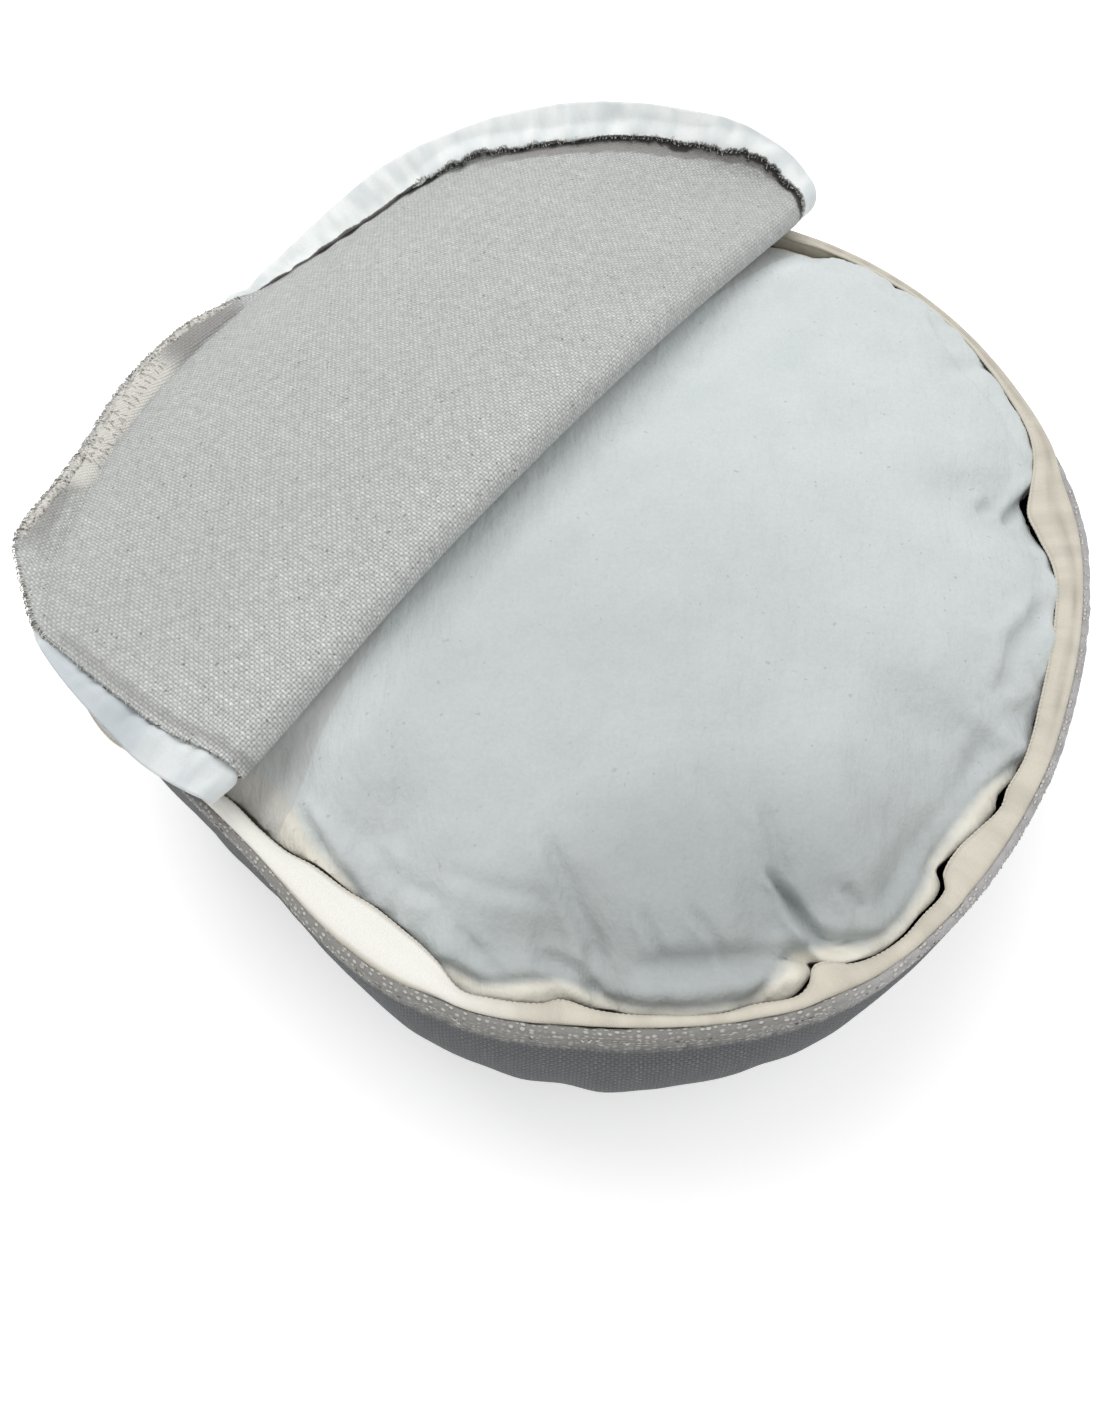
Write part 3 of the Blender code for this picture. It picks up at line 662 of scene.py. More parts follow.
def tapeFinish(name, colour, shade, paintedShading):
    # narrow woven tape: herringbone along its length, with painted shade for its puckers and along its
    # crease, a painted shading colour where its pale mark lies, and a ragged edge darkened by dark thread and
    # painted shadow
    finish = Finish(name, 0.78, sheen=0.1)
    flat = finish.cloth(1.2)
    u, v, _ = finish.parts(flat)
    zigzag = (u / 0.003).math("PINGPONG", 0.5)
    twill = ((v / 0.0006 + zigzag * 2.5) * math.pi * 2).math("SINE") * 0.5 + 0.5
    soft = finish.noise(finish.stretch(flat, (0.3, 1.0, 1.0)), 0.009, detail=2.0)
    fine = finish.noise(flat, 0.0008, detail=2.0)
    # painted shade standing in for the puckers' shading
    mixed = finish.blend(finish.ramp(soft, 0.35, 0.7), colour, shade)
    # painted shading: lighter on the cream tape, darker on the white
    mixed = finish.blend(finish.mark("pale"), mixed, paintedShading)
    mixed = finish.tint(mixed, twill * 0.04 + fine * 0.1 + 0.92)
    # painted shade along the crease
    mixed = finish.tint(mixed, 1 - finish.mark("crease") * 0.3)
    # dark thread at the ragged edge, with painted shadow beneath it
    soil = finish.mark("soil")
    ragged = soil * finish.ramp(finish.noise(flat, 0.001, detail=2.0, rough=0.7) + soil * 0.16, 0.52, 0.62)
    mixed = finish.blend(ragged, mixed, (0.13, 0.125, 0.12))
    return finish.finish(mixed, twill * 0.5 + fine * 0.5, 0.00016)


def threadFinish(name, colour, shade):
    finish = Finish(name, 0.7, sheen=0.2)
    place = finish.place()
    mixed = finish.blend(finish.ramp(finish.noise(place, 0.003, detail=2.0), 0.42, 0.6), colour, shade)
    twist = finish.noise(place, 0.0004, detail=1.0)
    return finish.finish(mixed, twist, 0.0001)


def sergedFinish():
    # an overlocked edge: pale thread packed close, darkened where the threads part, partly dark thread and
    # partly painted shade in the gaps
    finish = Finish("sergedEdgeFinish", 0.8, sheen=0.15)
    place = finish.place()
    threads = finish.noise(place, 0.0011, detail=3.0, rough=0.7)
    broad = finish.noise(place, 0.0045, detail=2.0)
    colour = finish.blend(finish.ramp(broad, 0.38, 0.62), (0.56, 0.545, 0.5), (0.42, 0.4, 0.36))
    colour = finish.blend(finish.ramp(threads, 0.5, 0.6), colour, (0.7, 0.69, 0.65))
    colour = finish.blend(finish.ramp(threads, 0.44, 0.37), colour, (0.105, 0.1, 0.095))
    return finish.finish(colour, threads, 0.0006)


flapCanvas = canvasFinish("flapCanvasFinish", flapLook)
bandCanvas = canvasFinish("bandCanvasFinish", bandShadedLook)
pillowCotton = cottonFinish()
# each tape's second colour is painted shade for its puckers; its third is painted shading, lighter on the
# cream tape and a bluish grey painted shade on the white
creamTape = tapeFinish("creamTapeFinish", (0.66, 0.615, 0.525), (0.57, 0.53, 0.45), (0.86, 0.845, 0.79))
whiteTape = tapeFinish("whiteTapeFinish", (0.84, 0.865, 0.855), (0.7, 0.74, 0.745), (0.52, 0.565, 0.595))
creamThread = threadFinish("creamThreadFinish", (0.7, 0.69, 0.64), (0.4, 0.38, 0.34))
greyThread = threadFinish("greyThreadFinish", (0.36, 0.35, 0.33), (0.12, 0.115, 0.11))
serged = sergedFinish()

print("finishes made")


def addObject(name, data):
    made = bpy.data.objects.new(name, data)
    bpy.context.scene.collection.objects.link(made)
    return made


def evaluatedMesh(thing):
    # a new mesh of an object with its modifiers or its curve's thickness applied
    view = bpy.context.evaluated_depsgraph_get()
    return bpy.data.meshes.new_from_object(thing.evaluated_get(view))


def addPiece(name, mesh, material, slotName):
    piece = addObject(name, mesh)
    mesh.materials.clear()
    mesh.materials.append(material)
    mesh.shade_smooth()
    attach(piece, "root")
    return piece


def cleaned(form, mesh):
    # the form written to a mesh with its doubles merged and its faces turned outwards
    bmesh.ops.remove_doubles(form, verts=form.verts, dist=1e-6)
    bmesh.ops.recalc_face_normals(form, faces=form.faces)
    form.to_mesh(mesh)
    form.free()


def clothGrid(columns, rows, place, detail, size, marks=None):
    # a flat grid moved into place, then along its own normals by detail; flat cloth in its UVs
    form = bmesh.new()
    bmesh.ops.create_grid(form, x_segments=columns, y_segments=rows, size=0.5)
    flats = []
    for point in form.verts:
        point.co, flat = place(point.co.x + 0.5, point.co.y + 0.5)
        flats.append(flat)
    form.normal_update()
    moves = [point.normal * detail(flats[point.index], point.co) for point in form.verts]
    for point, move in zip(form.verts, moves):
        point.co += move
    layer = form.loops.layers.uv.new("cloth")
    for face in form.faces:
        for loop in face.loops:
            u, v = flats[loop.vert.index]
            loop[layer].uv = (u / size + 0.5, v / size + 0.5)
    mesh = bpy.data.meshes.new("cloth")
    form.to_mesh(mesh)
    form.free()
    if marks:
        found = [marks(flat, point.co) for flat, point in zip(flats, mesh.vertices)]
        for name in found[0]:
            addMark(mesh, name, [share[name] for share in found])
    return mesh


def addMark(mesh, name, shares):
    mesh.attributes.new(name, "FLOAT", "POINT").data.foreach_set("value", shares)


def closeTube(form):
    # a grid bent round into a tube, sewn up along its length and closed at both ends
    bmesh.ops.remove_doubles(form, verts=form.verts, dist=1e-6)
    bmesh.ops.holes_fill(form, edges=form.edges, sides=24)
    bmesh.ops.recalc_face_normals(form, faces=form.faces)
    mesh = bpy.data.meshes.new("tube")
    form.to_mesh(mesh)
    form.free()
    return mesh


def addTube(name, spots, halves, segments, material, slotName):
    # a tube through spots of (centre, side, up), with its two half widths given by halves
    form = bmesh.new()
    count = len(spots) - 1
    bmesh.ops.create_grid(form, x_segments=count, y_segments=segments, size=0.5)
    for point in form.verts:
        step = round((point.co.x + 0.5) * count)
        turn = round((point.co.y + 0.5) * segments) % segments * 2 * math.pi / segments
        centre, side, up = spots[step]
        wide, tall = halves(step, turn)
        point.co = centre + side * math.cos(turn) * wide + up * math.sin(turn) * tall
    return addPiece(name, closeTube(form), material, slotName)


def thicken(piece, thickness):
    shell = piece.modifiers.new("Thickness", "SOLIDIFY")
    shell.thickness = thickness
    shell.offset = 0.0


def bake(piece):
    # the piece's modifiers applied to its mesh
    mesh = evaluatedMesh(piece)
    piece.modifiers.clear()
    old = piece.data
    piece.data = mesh
    bpy.data.meshes.remove(old)


def threads(name, paths, radius, material, slotName):
    # many short threads in one piece, each a path of points
    curve = bpy.data.curves.new(name + "Lines", "CURVE")
    curve.dimensions = "3D"
    curve.bevel_depth = radius
    curve.bevel_resolution = 0
    curve.use_fill_caps = True
    for path in paths:
        line = curve.splines.new("POLY")
        line.points.add(len(path) - 1)
        for point, at in zip(line.points, path):
            point.co = (at.x, at.y, at.z, 1)
    drawn = addObject(name + "Lines", curve)
    mesh = evaluatedMesh(drawn)
    bpy.data.objects.remove(drawn)
    form = bmesh.new()
    form.from_mesh(mesh)
    cleaned(form, mesh)
    return addPiece(name, mesh, material, slotName)


bandTapeRows = [
    # angle, inwards, rise
    (-178, -0.006, 0.0), (-158, -0.0065, 0.0), (-150, -0.006, 0.0), (-144, 0.0, 0.002),
    (-136, 0.0062, 0.0), (-130, 0.0066, -0.0006), (-126, 0.008, -0.001), (-122, 0.0117, -0.0016),
    (-117, 0.0142, -0.002), (-113, 0.016, -0.0022), (-108, 0.0146, -0.002), (-105, 0.011, -0.0016),
    (-102, 0.0058, -0.0008), (-99, 0.0061, -0.001), (-94, 0.0067, -0.0012), (-92, 0.0082, -0.0014),
    (-89, 0.0058, -0.001), (-86, 0.0046, -0.0008), (-81, 0.0036, -0.0006), (-77, 0.0036, -0.0006),
    (-74, 0.0048, -0.0008), (-70, 0.0044, -0.0008), (-68.4, 0.0066, -0.0012), (-67.2, 0.0108, -0.0014),
    (-65.4, 0.0102, -0.0014), (-64, 0.0074, -0.001), (-61, 0.0055, -0.0006), (-58, 0.005, -0.0004),
    (-55, 0.006, -0.0006), (-51.4, 0.0066, -0.0006), (-50, 0.0102, -0.0012), (-47, 0.0114, -0.0012),
    (-44, 0.01, -0.001), (-40, 0.0076, -0.0006), (-37.6, 0.0086, -0.0008), (-33, 0.008, -0.0008),
    (-24, 0.0092, -0.0008), (-15, 0.0095, -0.0006), (-9, 0.01, -0.0002), (-5.5, 0.0118, -0.0004),
    (-2, 0.0152, -0.0006), (1.5, 0.0172, -0.0006), (5, 0.014, 0.0), (9, 0.009, 0.0012),
    (13, 0.0064, 0.0028), (20, 0.005, 0.0038), (30, 0.0038, 0.0044), (48, 0.0038, 0.0038),
    (58, 0.003, 0.002), (64, -0.0015, 0.002), (72, -0.0055, 0.0), (90, -0.006, 0.0), (182, -0.006, 0.0),
]

bandTape = {
    "start": -178,
    "end": 181,
    "width": 0.0125,
    "columns": 1080,
    "rows": 14,
    "lift": 0.001,
    "inset": 0.0021,  # from the middle of the band's cloth in to the tape sewn behind it
    "sewn": 0.005,  # how far down inside the band the tape is sewn
    "sewnShare": 0.38,
    "bow": 0.0012,
    "bulgeShare": 0.5,
    "bulgeOut": 0.0011,
    "bulgeUp": 0.0002,
    "overOut": 0.0012,  # more of it where the tape lies over the rim
    "overUp": 0.0009,
    "wave": 0.0007,
    "coilRadius": 0.0006,
    "coilPitch": 0.0017,
    "coilSteps": 1400,
}

bandTapeIn = lineCurve(bandTapeRows, 1, 1440)
bandTapeRise = lineCurve(bandTapeRows, 2, 1440)


def tapeEdgeRadius(angle):
    return seamRadius(angle) - bandTapeIn(angle)


def bandTapePoint(angle, across):
    # sewn inside the band, up past its rim and in over the pillow; flat outwards where it is closed
    inwards = bandTapeIn(angle)
    isOpen = smooth((inwards + 0.001) / 0.003)
    face = seamRadius(angle) - bandTape["inset"] * isOpen
    top = rimHeight(angle) + bandTape["lift"]
    around = polar(11, angle, 6.0)
    wave = noise.noise(around) * bandTape["wave"] * isOpen
    low = (face, top + (rimHeight(angle) - bandTape["sewn"] - top) * isOpen)
    high = (face, top)
    tip = (tapeEdgeRadius(angle), top + bandTapeRise(angle) + wave)
    turn = bandTape["sewnShare"] * isOpen
    if across < turn:
        share = across / turn
        found = [low[k] + (high[k] - low[k]) * share for k in (0, 1)]
    else:
        share = (across - turn) / (1 - turn)
        found = [high[k] + (tip[k] - high[k]) * share for k in (0, 1)]
        found[1] += bandTape["bow"] * math.sin(math.pi * share) * isOpen
        turned = half(angle)
        over = window(turned, 4, 64, 8, 6)
        bulge = math.sin(math.pi * min(1.0, share / bandTape["bulgeShare"])) * isOpen
        found[0] += (bandTape["bulgeOut"] + bandTape["overOut"] * over) * bulge
        found[1] += (bandTape["bulgeUp"] + bandTape["overUp"] * over) * bulge
    return polar(found[0], angle, found[1])


pillow = {
    "voxel": 0.0045,
    "pressure": 4.0,
    "frames": 20,
    "growth": -0.02,
    "capOpen": 0.0035,
    "capHidden": 0.0008,
    "creased": 1.7,
    "shoulder": 0.003,
    "gather": 0.0012,
    "crumple": 0.0004,
    "fineCrumple": 0.0001,
    "seamDepth": 0.0017,
    "foldLine": 0.0232,  # where the folded panel's edge passes over the pillow, and how it bends
    "foldBendNear": 0.9,
    "foldBendFar": 0.48,
}

pillowEdgeRows = [
    # angle, radius, rise
    (0, 0.162, 0.001), (8, 0.168, 0.005), (22, 0.1695, 0.009), (38, 0.17, 0.011), (52, 0.1665, 0.008),
    (66, 0.1605, 0.002), (90, 0.161, -0.005), (120, 0.159, -0.01), (150, 0.16, -0.018),
    (180, 0.161, -0.013), (200, 0.157, -0.004), (215, 0.145, 0.0), (226, 0.137, 0.0),
    (240, 0.1445, 0.0), (252, 0.154, -0.001), (260, 0.161, -0.001), (268, 0.1585, -0.001),
    (276, 0.1665, 0.0), (286, 0.1695, 0.0), (293, 0.162, -0.001), (301, 0.1695, 0.0), (312, 0.161, 0.0),
    (321, 0.16, 0.0), (330, 0.166, 0.0), (345, 0.1675, 0.003), (354, 0.169, 0.002),
]

# Creases of the cotton: depth, half width, ridge beside it, and the places they run through.
pillowCreases = [
    (0.0022, 0.0019, 0.5, [(-0.099, -0.09), (-0.0947, -0.0961), (-0.0699, -0.128)]),
    (0.0022, 0.0022, 0.6, [(-0.0129, -0.1519), (-0.0006, -0.1562), (0.0064, -0.1627)]),
    (0.0012, 0.0026, 0.7, [(-0.01, -0.121), (-0.0059, -0.1309), (0.0028, -0.1479), (0.0064, -0.1579)]),
    (0.0024, 0.0024, 0.7, [(0.0553, -0.132), (0.067, -0.1455), (0.0742, -0.1487), (0.0836, -0.1467)]),
    (0.0026, 0.003, 0.3, [(0.0134, -0.157), (0.0346, -0.1553), (0.056, -0.1524), (0.0703, -0.1507)]),
    (0.001, 0.0024, 0.6, [(0.0529, -0.1103), (0.0574, -0.1251), (0.0603, -0.1338)]),
    (0.0005, 0.003, 0.6, [(0.0328, -0.1002), (0.0483, -0.1222)]),
    (0.0012, 0.0022, 0.6, [(0.0763, -0.1331), (0.082, -0.1399)]),
    (0.0014, 0.0042, 0.3, [(0.1315, -0.0814), (0.1207, -0.0984), (0.0983, -0.1236), (0.0835, -0.1452)]),
    (0.0016, 0.003, 0.6, [(0.1581, -0.0337), (0.1406, -0.0527), (0.1365, -0.0685)]),
    (0.0017, 0.002, 0.5, [(0.164, 0.018), (0.159, 0.0116), (0.1497, -0.0002)]),
    (0.002, 0.0015, 0.7, [(0.0529, -0.1286), (0.061, -0.1375), (0.0715, -0.1493)]),
    (0.0009, 0.0016, 0.6, [(0.0304, -0.1413), (0.0441, -0.1564)]),
    (0.0008, 0.0015, 0.6, [(0.0163, -0.1416), (0.0237, -0.1564)]),
    (0.0009, 0.0016, 0.5, [(-0.0365, -0.1442), (-0.0228, -0.1578)]),
    (0.001, 0.0024, 0.5, [(0.1458, 0.0063), (0.1393, 0.0012)]),
    (0.0008, 0.0022, 0.4, [(0.1339, 0.0972), (0.1417, 0.074), (0.1539, 0.0501), (0.1624, 0.0227)]),
    (0.0006, 0.002, 0.5, [(-0.0547, -0.0846), (-0.0538, -0.1038), (-0.0531, -0.1221)]),
    (0.0005, 0.0024, 0.5, [(-0.0402, -0.1298), (-0.0256, -0.1355), (-0.0076, -0.1386)]),
    (0.0006, 0.002, 0.5, [(-0.0528, -0.1324), (-0.0419, -0.1363)]),
]

pillowEdge = roundCurve(pillowEdgeRows, 1)

# The dark gap between the pillow and the band tape's free edge.
pillowGapRows = [
    # angle, width
    (-180, 0.0014), (-110, 0.0014), (-94, 0.0014), (-90, 0.002), (-87, 0.003), (-84, 0.0016),
    (-74, 0.0014), (-70, 0.0016), (-67, 0.0024), (-64, 0.0016), (-53, 0.0014), (-50, 0.0022),
    (-47, 0.0008), (-42, 0.0006), (-38, 0.0012), (-34, -0.0004), (-28, -0.001), (180, -0.001),
]

pillowGap = lineCurve(pillowGapRows, 1, 1440)


def tapeOpen(angle):
    turned = half(angle)
    return window(turned, -146, 68, 8, 6)


def pillowReach(angle):
    # how far out the pillow comes at its edge: up to the band tape's free edge
    turned = half(angle)
    within = min(tapeEdgeRadius(turned) - pillowGap(turned), seamRadius(turned) - 0.0046)
    return pillowEdge(angle) + max(0.0, within - pillowEdge(angle)) * tapeOpen(angle)


def pillowLimit(angle, height):
    # clear of the band's inner face, and of the tape sewn inside it
    side = bandRadius(angle, height) - 0.0032
    limit = side + (seamRadius(angle) - 0.0046 - side) * smooth((height - 0.086) / 0.006)
    turned = half(angle)
    flat = window(turned, -62, 24, 6, 8)
    over = height - rimHeight(angle) - bandTape["lift"] - bandTapeRise(turned)
    beside = flat * smooth((0.0035 - over) / 0.0015)
    return limit - max(0.0, limit - tapeEdgeRadius(turned) + 0.0016) * beside


def openShare(x, y):
    # 1 where the pillow shows, 0 under the folded panel
    behind = x * behindFold.x + y * behindFold.y
    return smooth((0.008 - behind) / 0.014)


def inflate(piece):
    # lets air pressure round the pillow, held at its lower half and capped
    scene = bpy.context.scene
    start = np.array([point.co[:] for point in piece.data.vertices])
    held = piece.vertex_groups.new(name="held")
    for point in piece.data.vertices:
        low = 1 - smooth((point.co.z - 0.07) / 0.025)
        held.add([point.index], max(low, 0.02), "REPLACE")
    cloth = piece.modifiers.new("Air", "CLOTH")
    settings = cloth.settings
    settings.quality = 5
    settings.mass = 0.3
    settings.tension_stiffness = 12
    settings.compression_stiffness = 12
    settings.shear_stiffness = 4
    settings.bending_stiffness = 0.15
    settings.use_pressure = True
    settings.uniform_pressure_force = pillow["pressure"]
    settings.effector_weights.gravity = 0
    settings.shrink_min = pillow["growth"]
    settings.vertex_group_mass = "held"
    cloth.collision_settings.use_collision = False
    for number in range(1, pillow["frames"] + 1):
        scene.frame_set(number)
    bake(piece)
    scene.frame_set(1)
    end = np.array([point.co[:] for point in piece.data.vertices])
    move = end - start
    far = np.linalg.norm(move, axis=1)
    shown = np.array([openShare(x, y) for x, y, _ in start])
    cap = pillow["capHidden"] + (pillow["capOpen"] - pillow["capHidden"]) * shown
    scale = np.minimum(1.0, cap / np.maximum(far, 1e-9))
    for point, place in zip(piece.data.vertices, start + move * scale[:, None]):
        point.co = place
    piece.vertex_groups.clear()


def creaseDepth(x, y):
    # how far each point is pushed in by the creases
    total = np.zeros(len(x))
    for depth, width, ridge, route in pillowCreases:
        nearest = np.full(len(x), 1.0)
        side = np.zeros(len(x))
        taper = np.zeros(len(x))
        steps = len(route) - 1
        for index, (start, end) in enumerate(zip(route, route[1:])):
            run = (end[0] - start[0], end[1] - start[1])
            length = math.hypot(*run)
            share = ((x - start[0]) * run[0] + (y - start[1]) * run[1]) / length**2
            share = np.clip(share, 0, 1)
            off = np.hypot(x - start[0] - share * run[0], y - start[1] - share * run[1])
            turned = (x - start[0]) * run[1] - (y - start[1]) * run[0]
            better = off < nearest
            nearest = np.where(better, off, nearest)
            side = np.where(better, np.sign(turned), side)
            taper = np.where(better, (index + share) / steps, taper)
        fade = np.clip(np.minimum(taper, 1 - taper) * 5 + 0.12, 0, 1)
        trough = np.exp(-((nearest / width) ** 2))
        bank = ridge * np.exp(-(((nearest * side - 1.7 * width) / (1.1 * width)) ** 2))
        total += depth * fade * (trough - bank)
    return total


def inFront(point):
    # the part whose creases the photo shows sharply
    if point.z <= 0.088 or point.y >= 0.04 or math.hypot(point.x, point.y) <= 0.095:
        return False
    return openShare(point.x, point.y) > 0.3


def makePillow():
    form = bmesh.new()
    form.from_mesh(nodes["inner_pillow"].data)
    bmesh.ops.remove_doubles(form, verts=form.verts, dist=1e-5)
    mesh = bpy.data.meshes.new("pillow")
    form.to_mesh(mesh)
    form.free()
    piece = addPiece("pillowCotton", mesh, pillowCotton, "pillow_cotton")
    remesh = piece.modifiers.new("Even", "REMESH")
    remesh.mode = "VOXEL"
    remesh.voxel_size = pillow["voxel"]
    bake(piece)
    inflate(piece)
    finer = piece.modifiers.new("Finer", "SUBSURF")
    finer.levels = 1
    finer.render_levels = 1
    bake(piece)

    form = bmesh.new()
    form.from_mesh(piece.data)
    finerEdges = [edge for edge in form.edges if all(inFront(point.co) for point in edge.verts)]
    bmesh.ops.subdivide_edges(form, edges=finerEdges, cuts=1, use_grid_fill=True)
    for point in form.verts:
        radius, angle = math.hypot(point.co.x, point.co.y), angleOf(point.co)
        edge = pillowEdge(angle)
        upper = smooth((point.co.z - 0.066) / 0.014)
        radius += (pillowReach(angle) - edge) * smooth((radius - edge + 0.008) / 0.008) * upper
        spot = polar(min(radius, pillowLimit(angle, point.co.z)), angle, point.co.z)
        point.co = spot
    form.normal_update()
    places = np.array([point.co[:] for point in form.verts])
    creases = creaseDepth(places[:, 0], places[:, 1])
    found = {"shade": [], "pastSeam": [], "pastReach": [], "besideFold": []}
    for point, crease in zip(form.verts, creases):
        radius = math.hypot(point.co.x, point.co.y)
        angle = angleOf(point.co)
        behind = point.co.dot(behindFold)
        shown = openShare(point.co.x, point.co.y) * smooth((point.co.z - 0.08) / 0.012)
        outer = radius - pillowEdge(angle)
        shoulder = smooth((outer + 0.012) / 0.01) * smooth((point.co.z - rimHeight(angle) + 0.016) / 0.01)
        nearRim = smooth((outer + 0.04) / 0.04)
        around = math.radians(angle) * 0.165
        gather = lump(around / 0.0085, radius / 0.06, 1.0) + 0.5 * lump(around / 0.0045, radius / 0.035, 4.0)
        crumple = lump(point.co.x / 0.022, point.co.y / 0.022, 2.0) * pillow["crumple"]
        crumple += lump(point.co.x / 0.008, point.co.y / 0.008, 7.0) * pillow["fineCrumple"]
        front = 0.35 + 0.65 * smooth((0.02 - point.co.y) / 0.1)
        spare = pillowReach(angle) - pillowEdge(angle)
        seam = pillow["seamDepth"] * smooth((spare - 0.0012) / 0.002) * math.exp(-((outer / 0.0015) ** 2))
        move = gather * pillow["gather"] * nearRim * front + crumple - crease * pillow["creased"] - seam
        move += pillow["shoulder"] * shoulder
        point.co += point.normal * move * shown
        reach = pillowReach(angle)
        now = math.hypot(point.co.x, point.co.y)
        if now > reach:
            held = tapeOpen(angle) * smooth((point.co.z - 0.066) / 0.014) * smooth((-28 - angle) / 8)
            shrink = 1 - (now - reach) / now * held
            point.co.x *= shrink
            point.co.y *= shrink
        # painted shade: darker at the lower front and through the middle, less on the right; beside the fold
        # the mark goes below zero and paints light against the fold's shade
        low = smooth((-0.06 - point.co.y) / 0.075) * smooth((-behind - 0.03) / 0.06)
        low = max(low, 0.55 * smooth((point.co.x - 0.02) / 0.1) * smooth((-0.02 - point.co.y) / 0.09))
        besideRight = 1 - 0.7 * smooth((point.co.x - 0.03) / 0.09)
        low = max(low, 0.4 * smooth((0.05 - point.co.y) / 0.11) * besideRight)
        along = point.co.dot(alongFold)
        bend = pillow["foldBendNear"] if along < 0.01 else pillow["foldBendFar"]
        foldLine = pillow["foldLine"] - bend * (along - 0.01) ** 2
        found["shade"].append(low - 0.75 * smooth((behind - foldLine + 0.02) / 0.02))
        # distances that place the painted bounce light past the edge, the painted dark gap at the tape's free
        # edge and the painted shadow beside the fold
        found["pastSeam"].append(outer)
        found["pastReach"].append(radius - reach if -142 < angle < -30 else -0.01)
        found["besideFold"].append(behind - foldLine)
    form.to_mesh(piece.data)
    form.free()
    for name in found:
        addMark(piece.data, name, found[name])
    piece.data.shade_smooth()
    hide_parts("inner_pillow")


makePillow()
print("pillow made")


band = {
    "columns": 460,
    "shares": [0.13, 0.3, 0.47, 0.62, 0.75, 0.86, 0.94, 0.985],
    "stepsBetween": 4,
    "thickness": 0.0013,
    "rollRadius": 0.0009,
    "rollSteps": 6,
    "zipOpenFrom": -136,
    "zipOpenTo": 60,
}


def zipOpen(angle):
    # 1 where the zip is open, 0 where both tapes are closed together
    angle = (angle + 180) % 360 - 180
    return smooth((angle - band["zipOpenFrom"] + 8) / 10) * smooth((band["zipOpenTo"] + 8 - angle) / 10)


def bandProfile(angle):
    # radius and height from the base seam, up the side and over the rolled rim
    middle = cover["canvas"] / 2
    top = rimHeight(angle)
    lowHeight = band["shares"][0] * top
    lowRadius = bandRadius(angle, lowHeight)
    flatEnd = lowRadius - cover["footRound"]
    profile = [
        (flatEnd - cover["footFlat"] + cover["seamGap"], middle),
        (flatEnd - cover["footFlat"] / 2, middle),
        (flatEnd, middle),
        (flatEnd + cover["footRound"] * 0.62, middle + cover["footRound"] * 0.22),
    ]
    profile += [(bandRadius(angle, share * top), share * top) for share in band["shares"]]
    profile = [(radius + (cover["canvas"] - band["thickness"]) / 2, height) for radius, height in profile]
    radius = band["rollRadius"]
    centre = profile[-1][0] - radius
    raised = top - radius + 0.0002 + 0.0008 * zipOpen(angle)
    for step in range(band["rollSteps"]):
        turn = math.pi * step / (band["rollSteps"] - 1)
        profile.append((centre + radius * math.cos(turn), raised + radius * math.sin(turn)))
    return profile


def makeBand():
    turns = [360 * column / band["columns"] for column in range(band["columns"] + 1)]
    profiles = [bandProfile(angle) for angle in turns]
    knots = len(profiles[0]) - 1
    rows = knots * band["stepsBetween"]
    lengths = []
    for profile in profiles:
        run = [0.0]
        for before, after in zip(profile, profile[1:]):
            run.append(run[-1] + math.hypot(after[0] - before[0], after[1] - before[1]))
        lengths.append(run)

    def place(around, up):
        column = round(around * band["columns"])
        profile = profiles[column]
        spot = up * knots
        index = min(int(spot), knots - 1)
        share = spot - index
        four = [profile[max(0, min(knots, index + k))] for k in (-1, 0, 1, 2)]
        found = [
            0.5
            * (
                2 * four[1][k]
                + (four[2][k] - four[0][k]) * share
                + (2 * four[0][k] - 5 * four[1][k] + 4 * four[2][k] - four[3][k]) * share**2
                + (3 * four[1][k] - four[0][k] - 3 * four[2][k] + four[3][k]) * share**3
            )
            for k in (0, 1)
        ]
        run = lengths[column]
        cloth = run[index] + (run[index + 1] - run[index]) * share
        return polar(found[0], turns[column], found[1]), (turns[column] / 360 * 1.1 - 0.55, cloth)

    def detail(flat, point):
        # slack cloth: soft upright wrinkles that die away at the rim and the foot
        up = point.z / cover["rimHeight"]
        free = smooth(up / 0.25) * smooth((0.97 - up) / 0.3)
        angle = math.radians(angleOf(point))
        across, down = math.cos(angle), math.sin(angle)
        wrinkle = lump(across * 7, down * 7, point.z * 22) * 0.0011
        wrinkle += lump(across * 16, down * 16, point.z * 30 + 5) * 0.0005
        knot = lump(across * 110, down * 110, point.z * 300) * 0.00045 * smooth((up - 0.95) / 0.04)
        return wrinkle * free + knot

    def marks(flat, point):
        # pale flecks where the cloth is turned over at the rim, with painted light making them paler from
        # just right of the front round the right side
        angle = angleOf(point)
        down = rimHeight(angle) - point.z + lump(angle * 0.9, 4.0) * 0.0012
        rim = (1 - smooth((down - 0.003) / 0.003)) * zipOpen(angle)
        paintedLitSide = smooth((angle + 72) / 14) * (0.55 + 0.45 * lump(angle * 2.6, point.z * 900, 3.0))
        return {"rim": rim, "pale": max(0.0, rim * paintedLitSide)}

    mesh = clothGrid(band["columns"], rows, place, detail, 1.2, marks)
    form = bmesh.new()
    form.from_mesh(mesh)
    cleaned(form, mesh)
    piece = addPiece("sideBand", mesh, bandCanvas, "band_canvas")
    thicken(piece, band["thickness"])
    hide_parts("side_band")


makeBand()
print("side band made")


panel = {
    "cells": 220,
    "pucker": 0.0007,
    "puckerPitch": 0.011,
    "puckerReach": 0.012,
    "sag": 0.0012,
    "creamStart": 0.0042,  # how much later the cream begins where the strip is widest
    # how far in from the top strip its painted shadow band on the canvas reaches
    "soilDepth": 0.007,
    "ribs": 0.00022,
    "wave": 0.0008,
    "ridge": 0.0007,
}


def seamZone(angle):
    # 1 at the far left, where the canvas's seam allowance shows instead of the tape
    return window(angle, -101, -33, 6, 4)


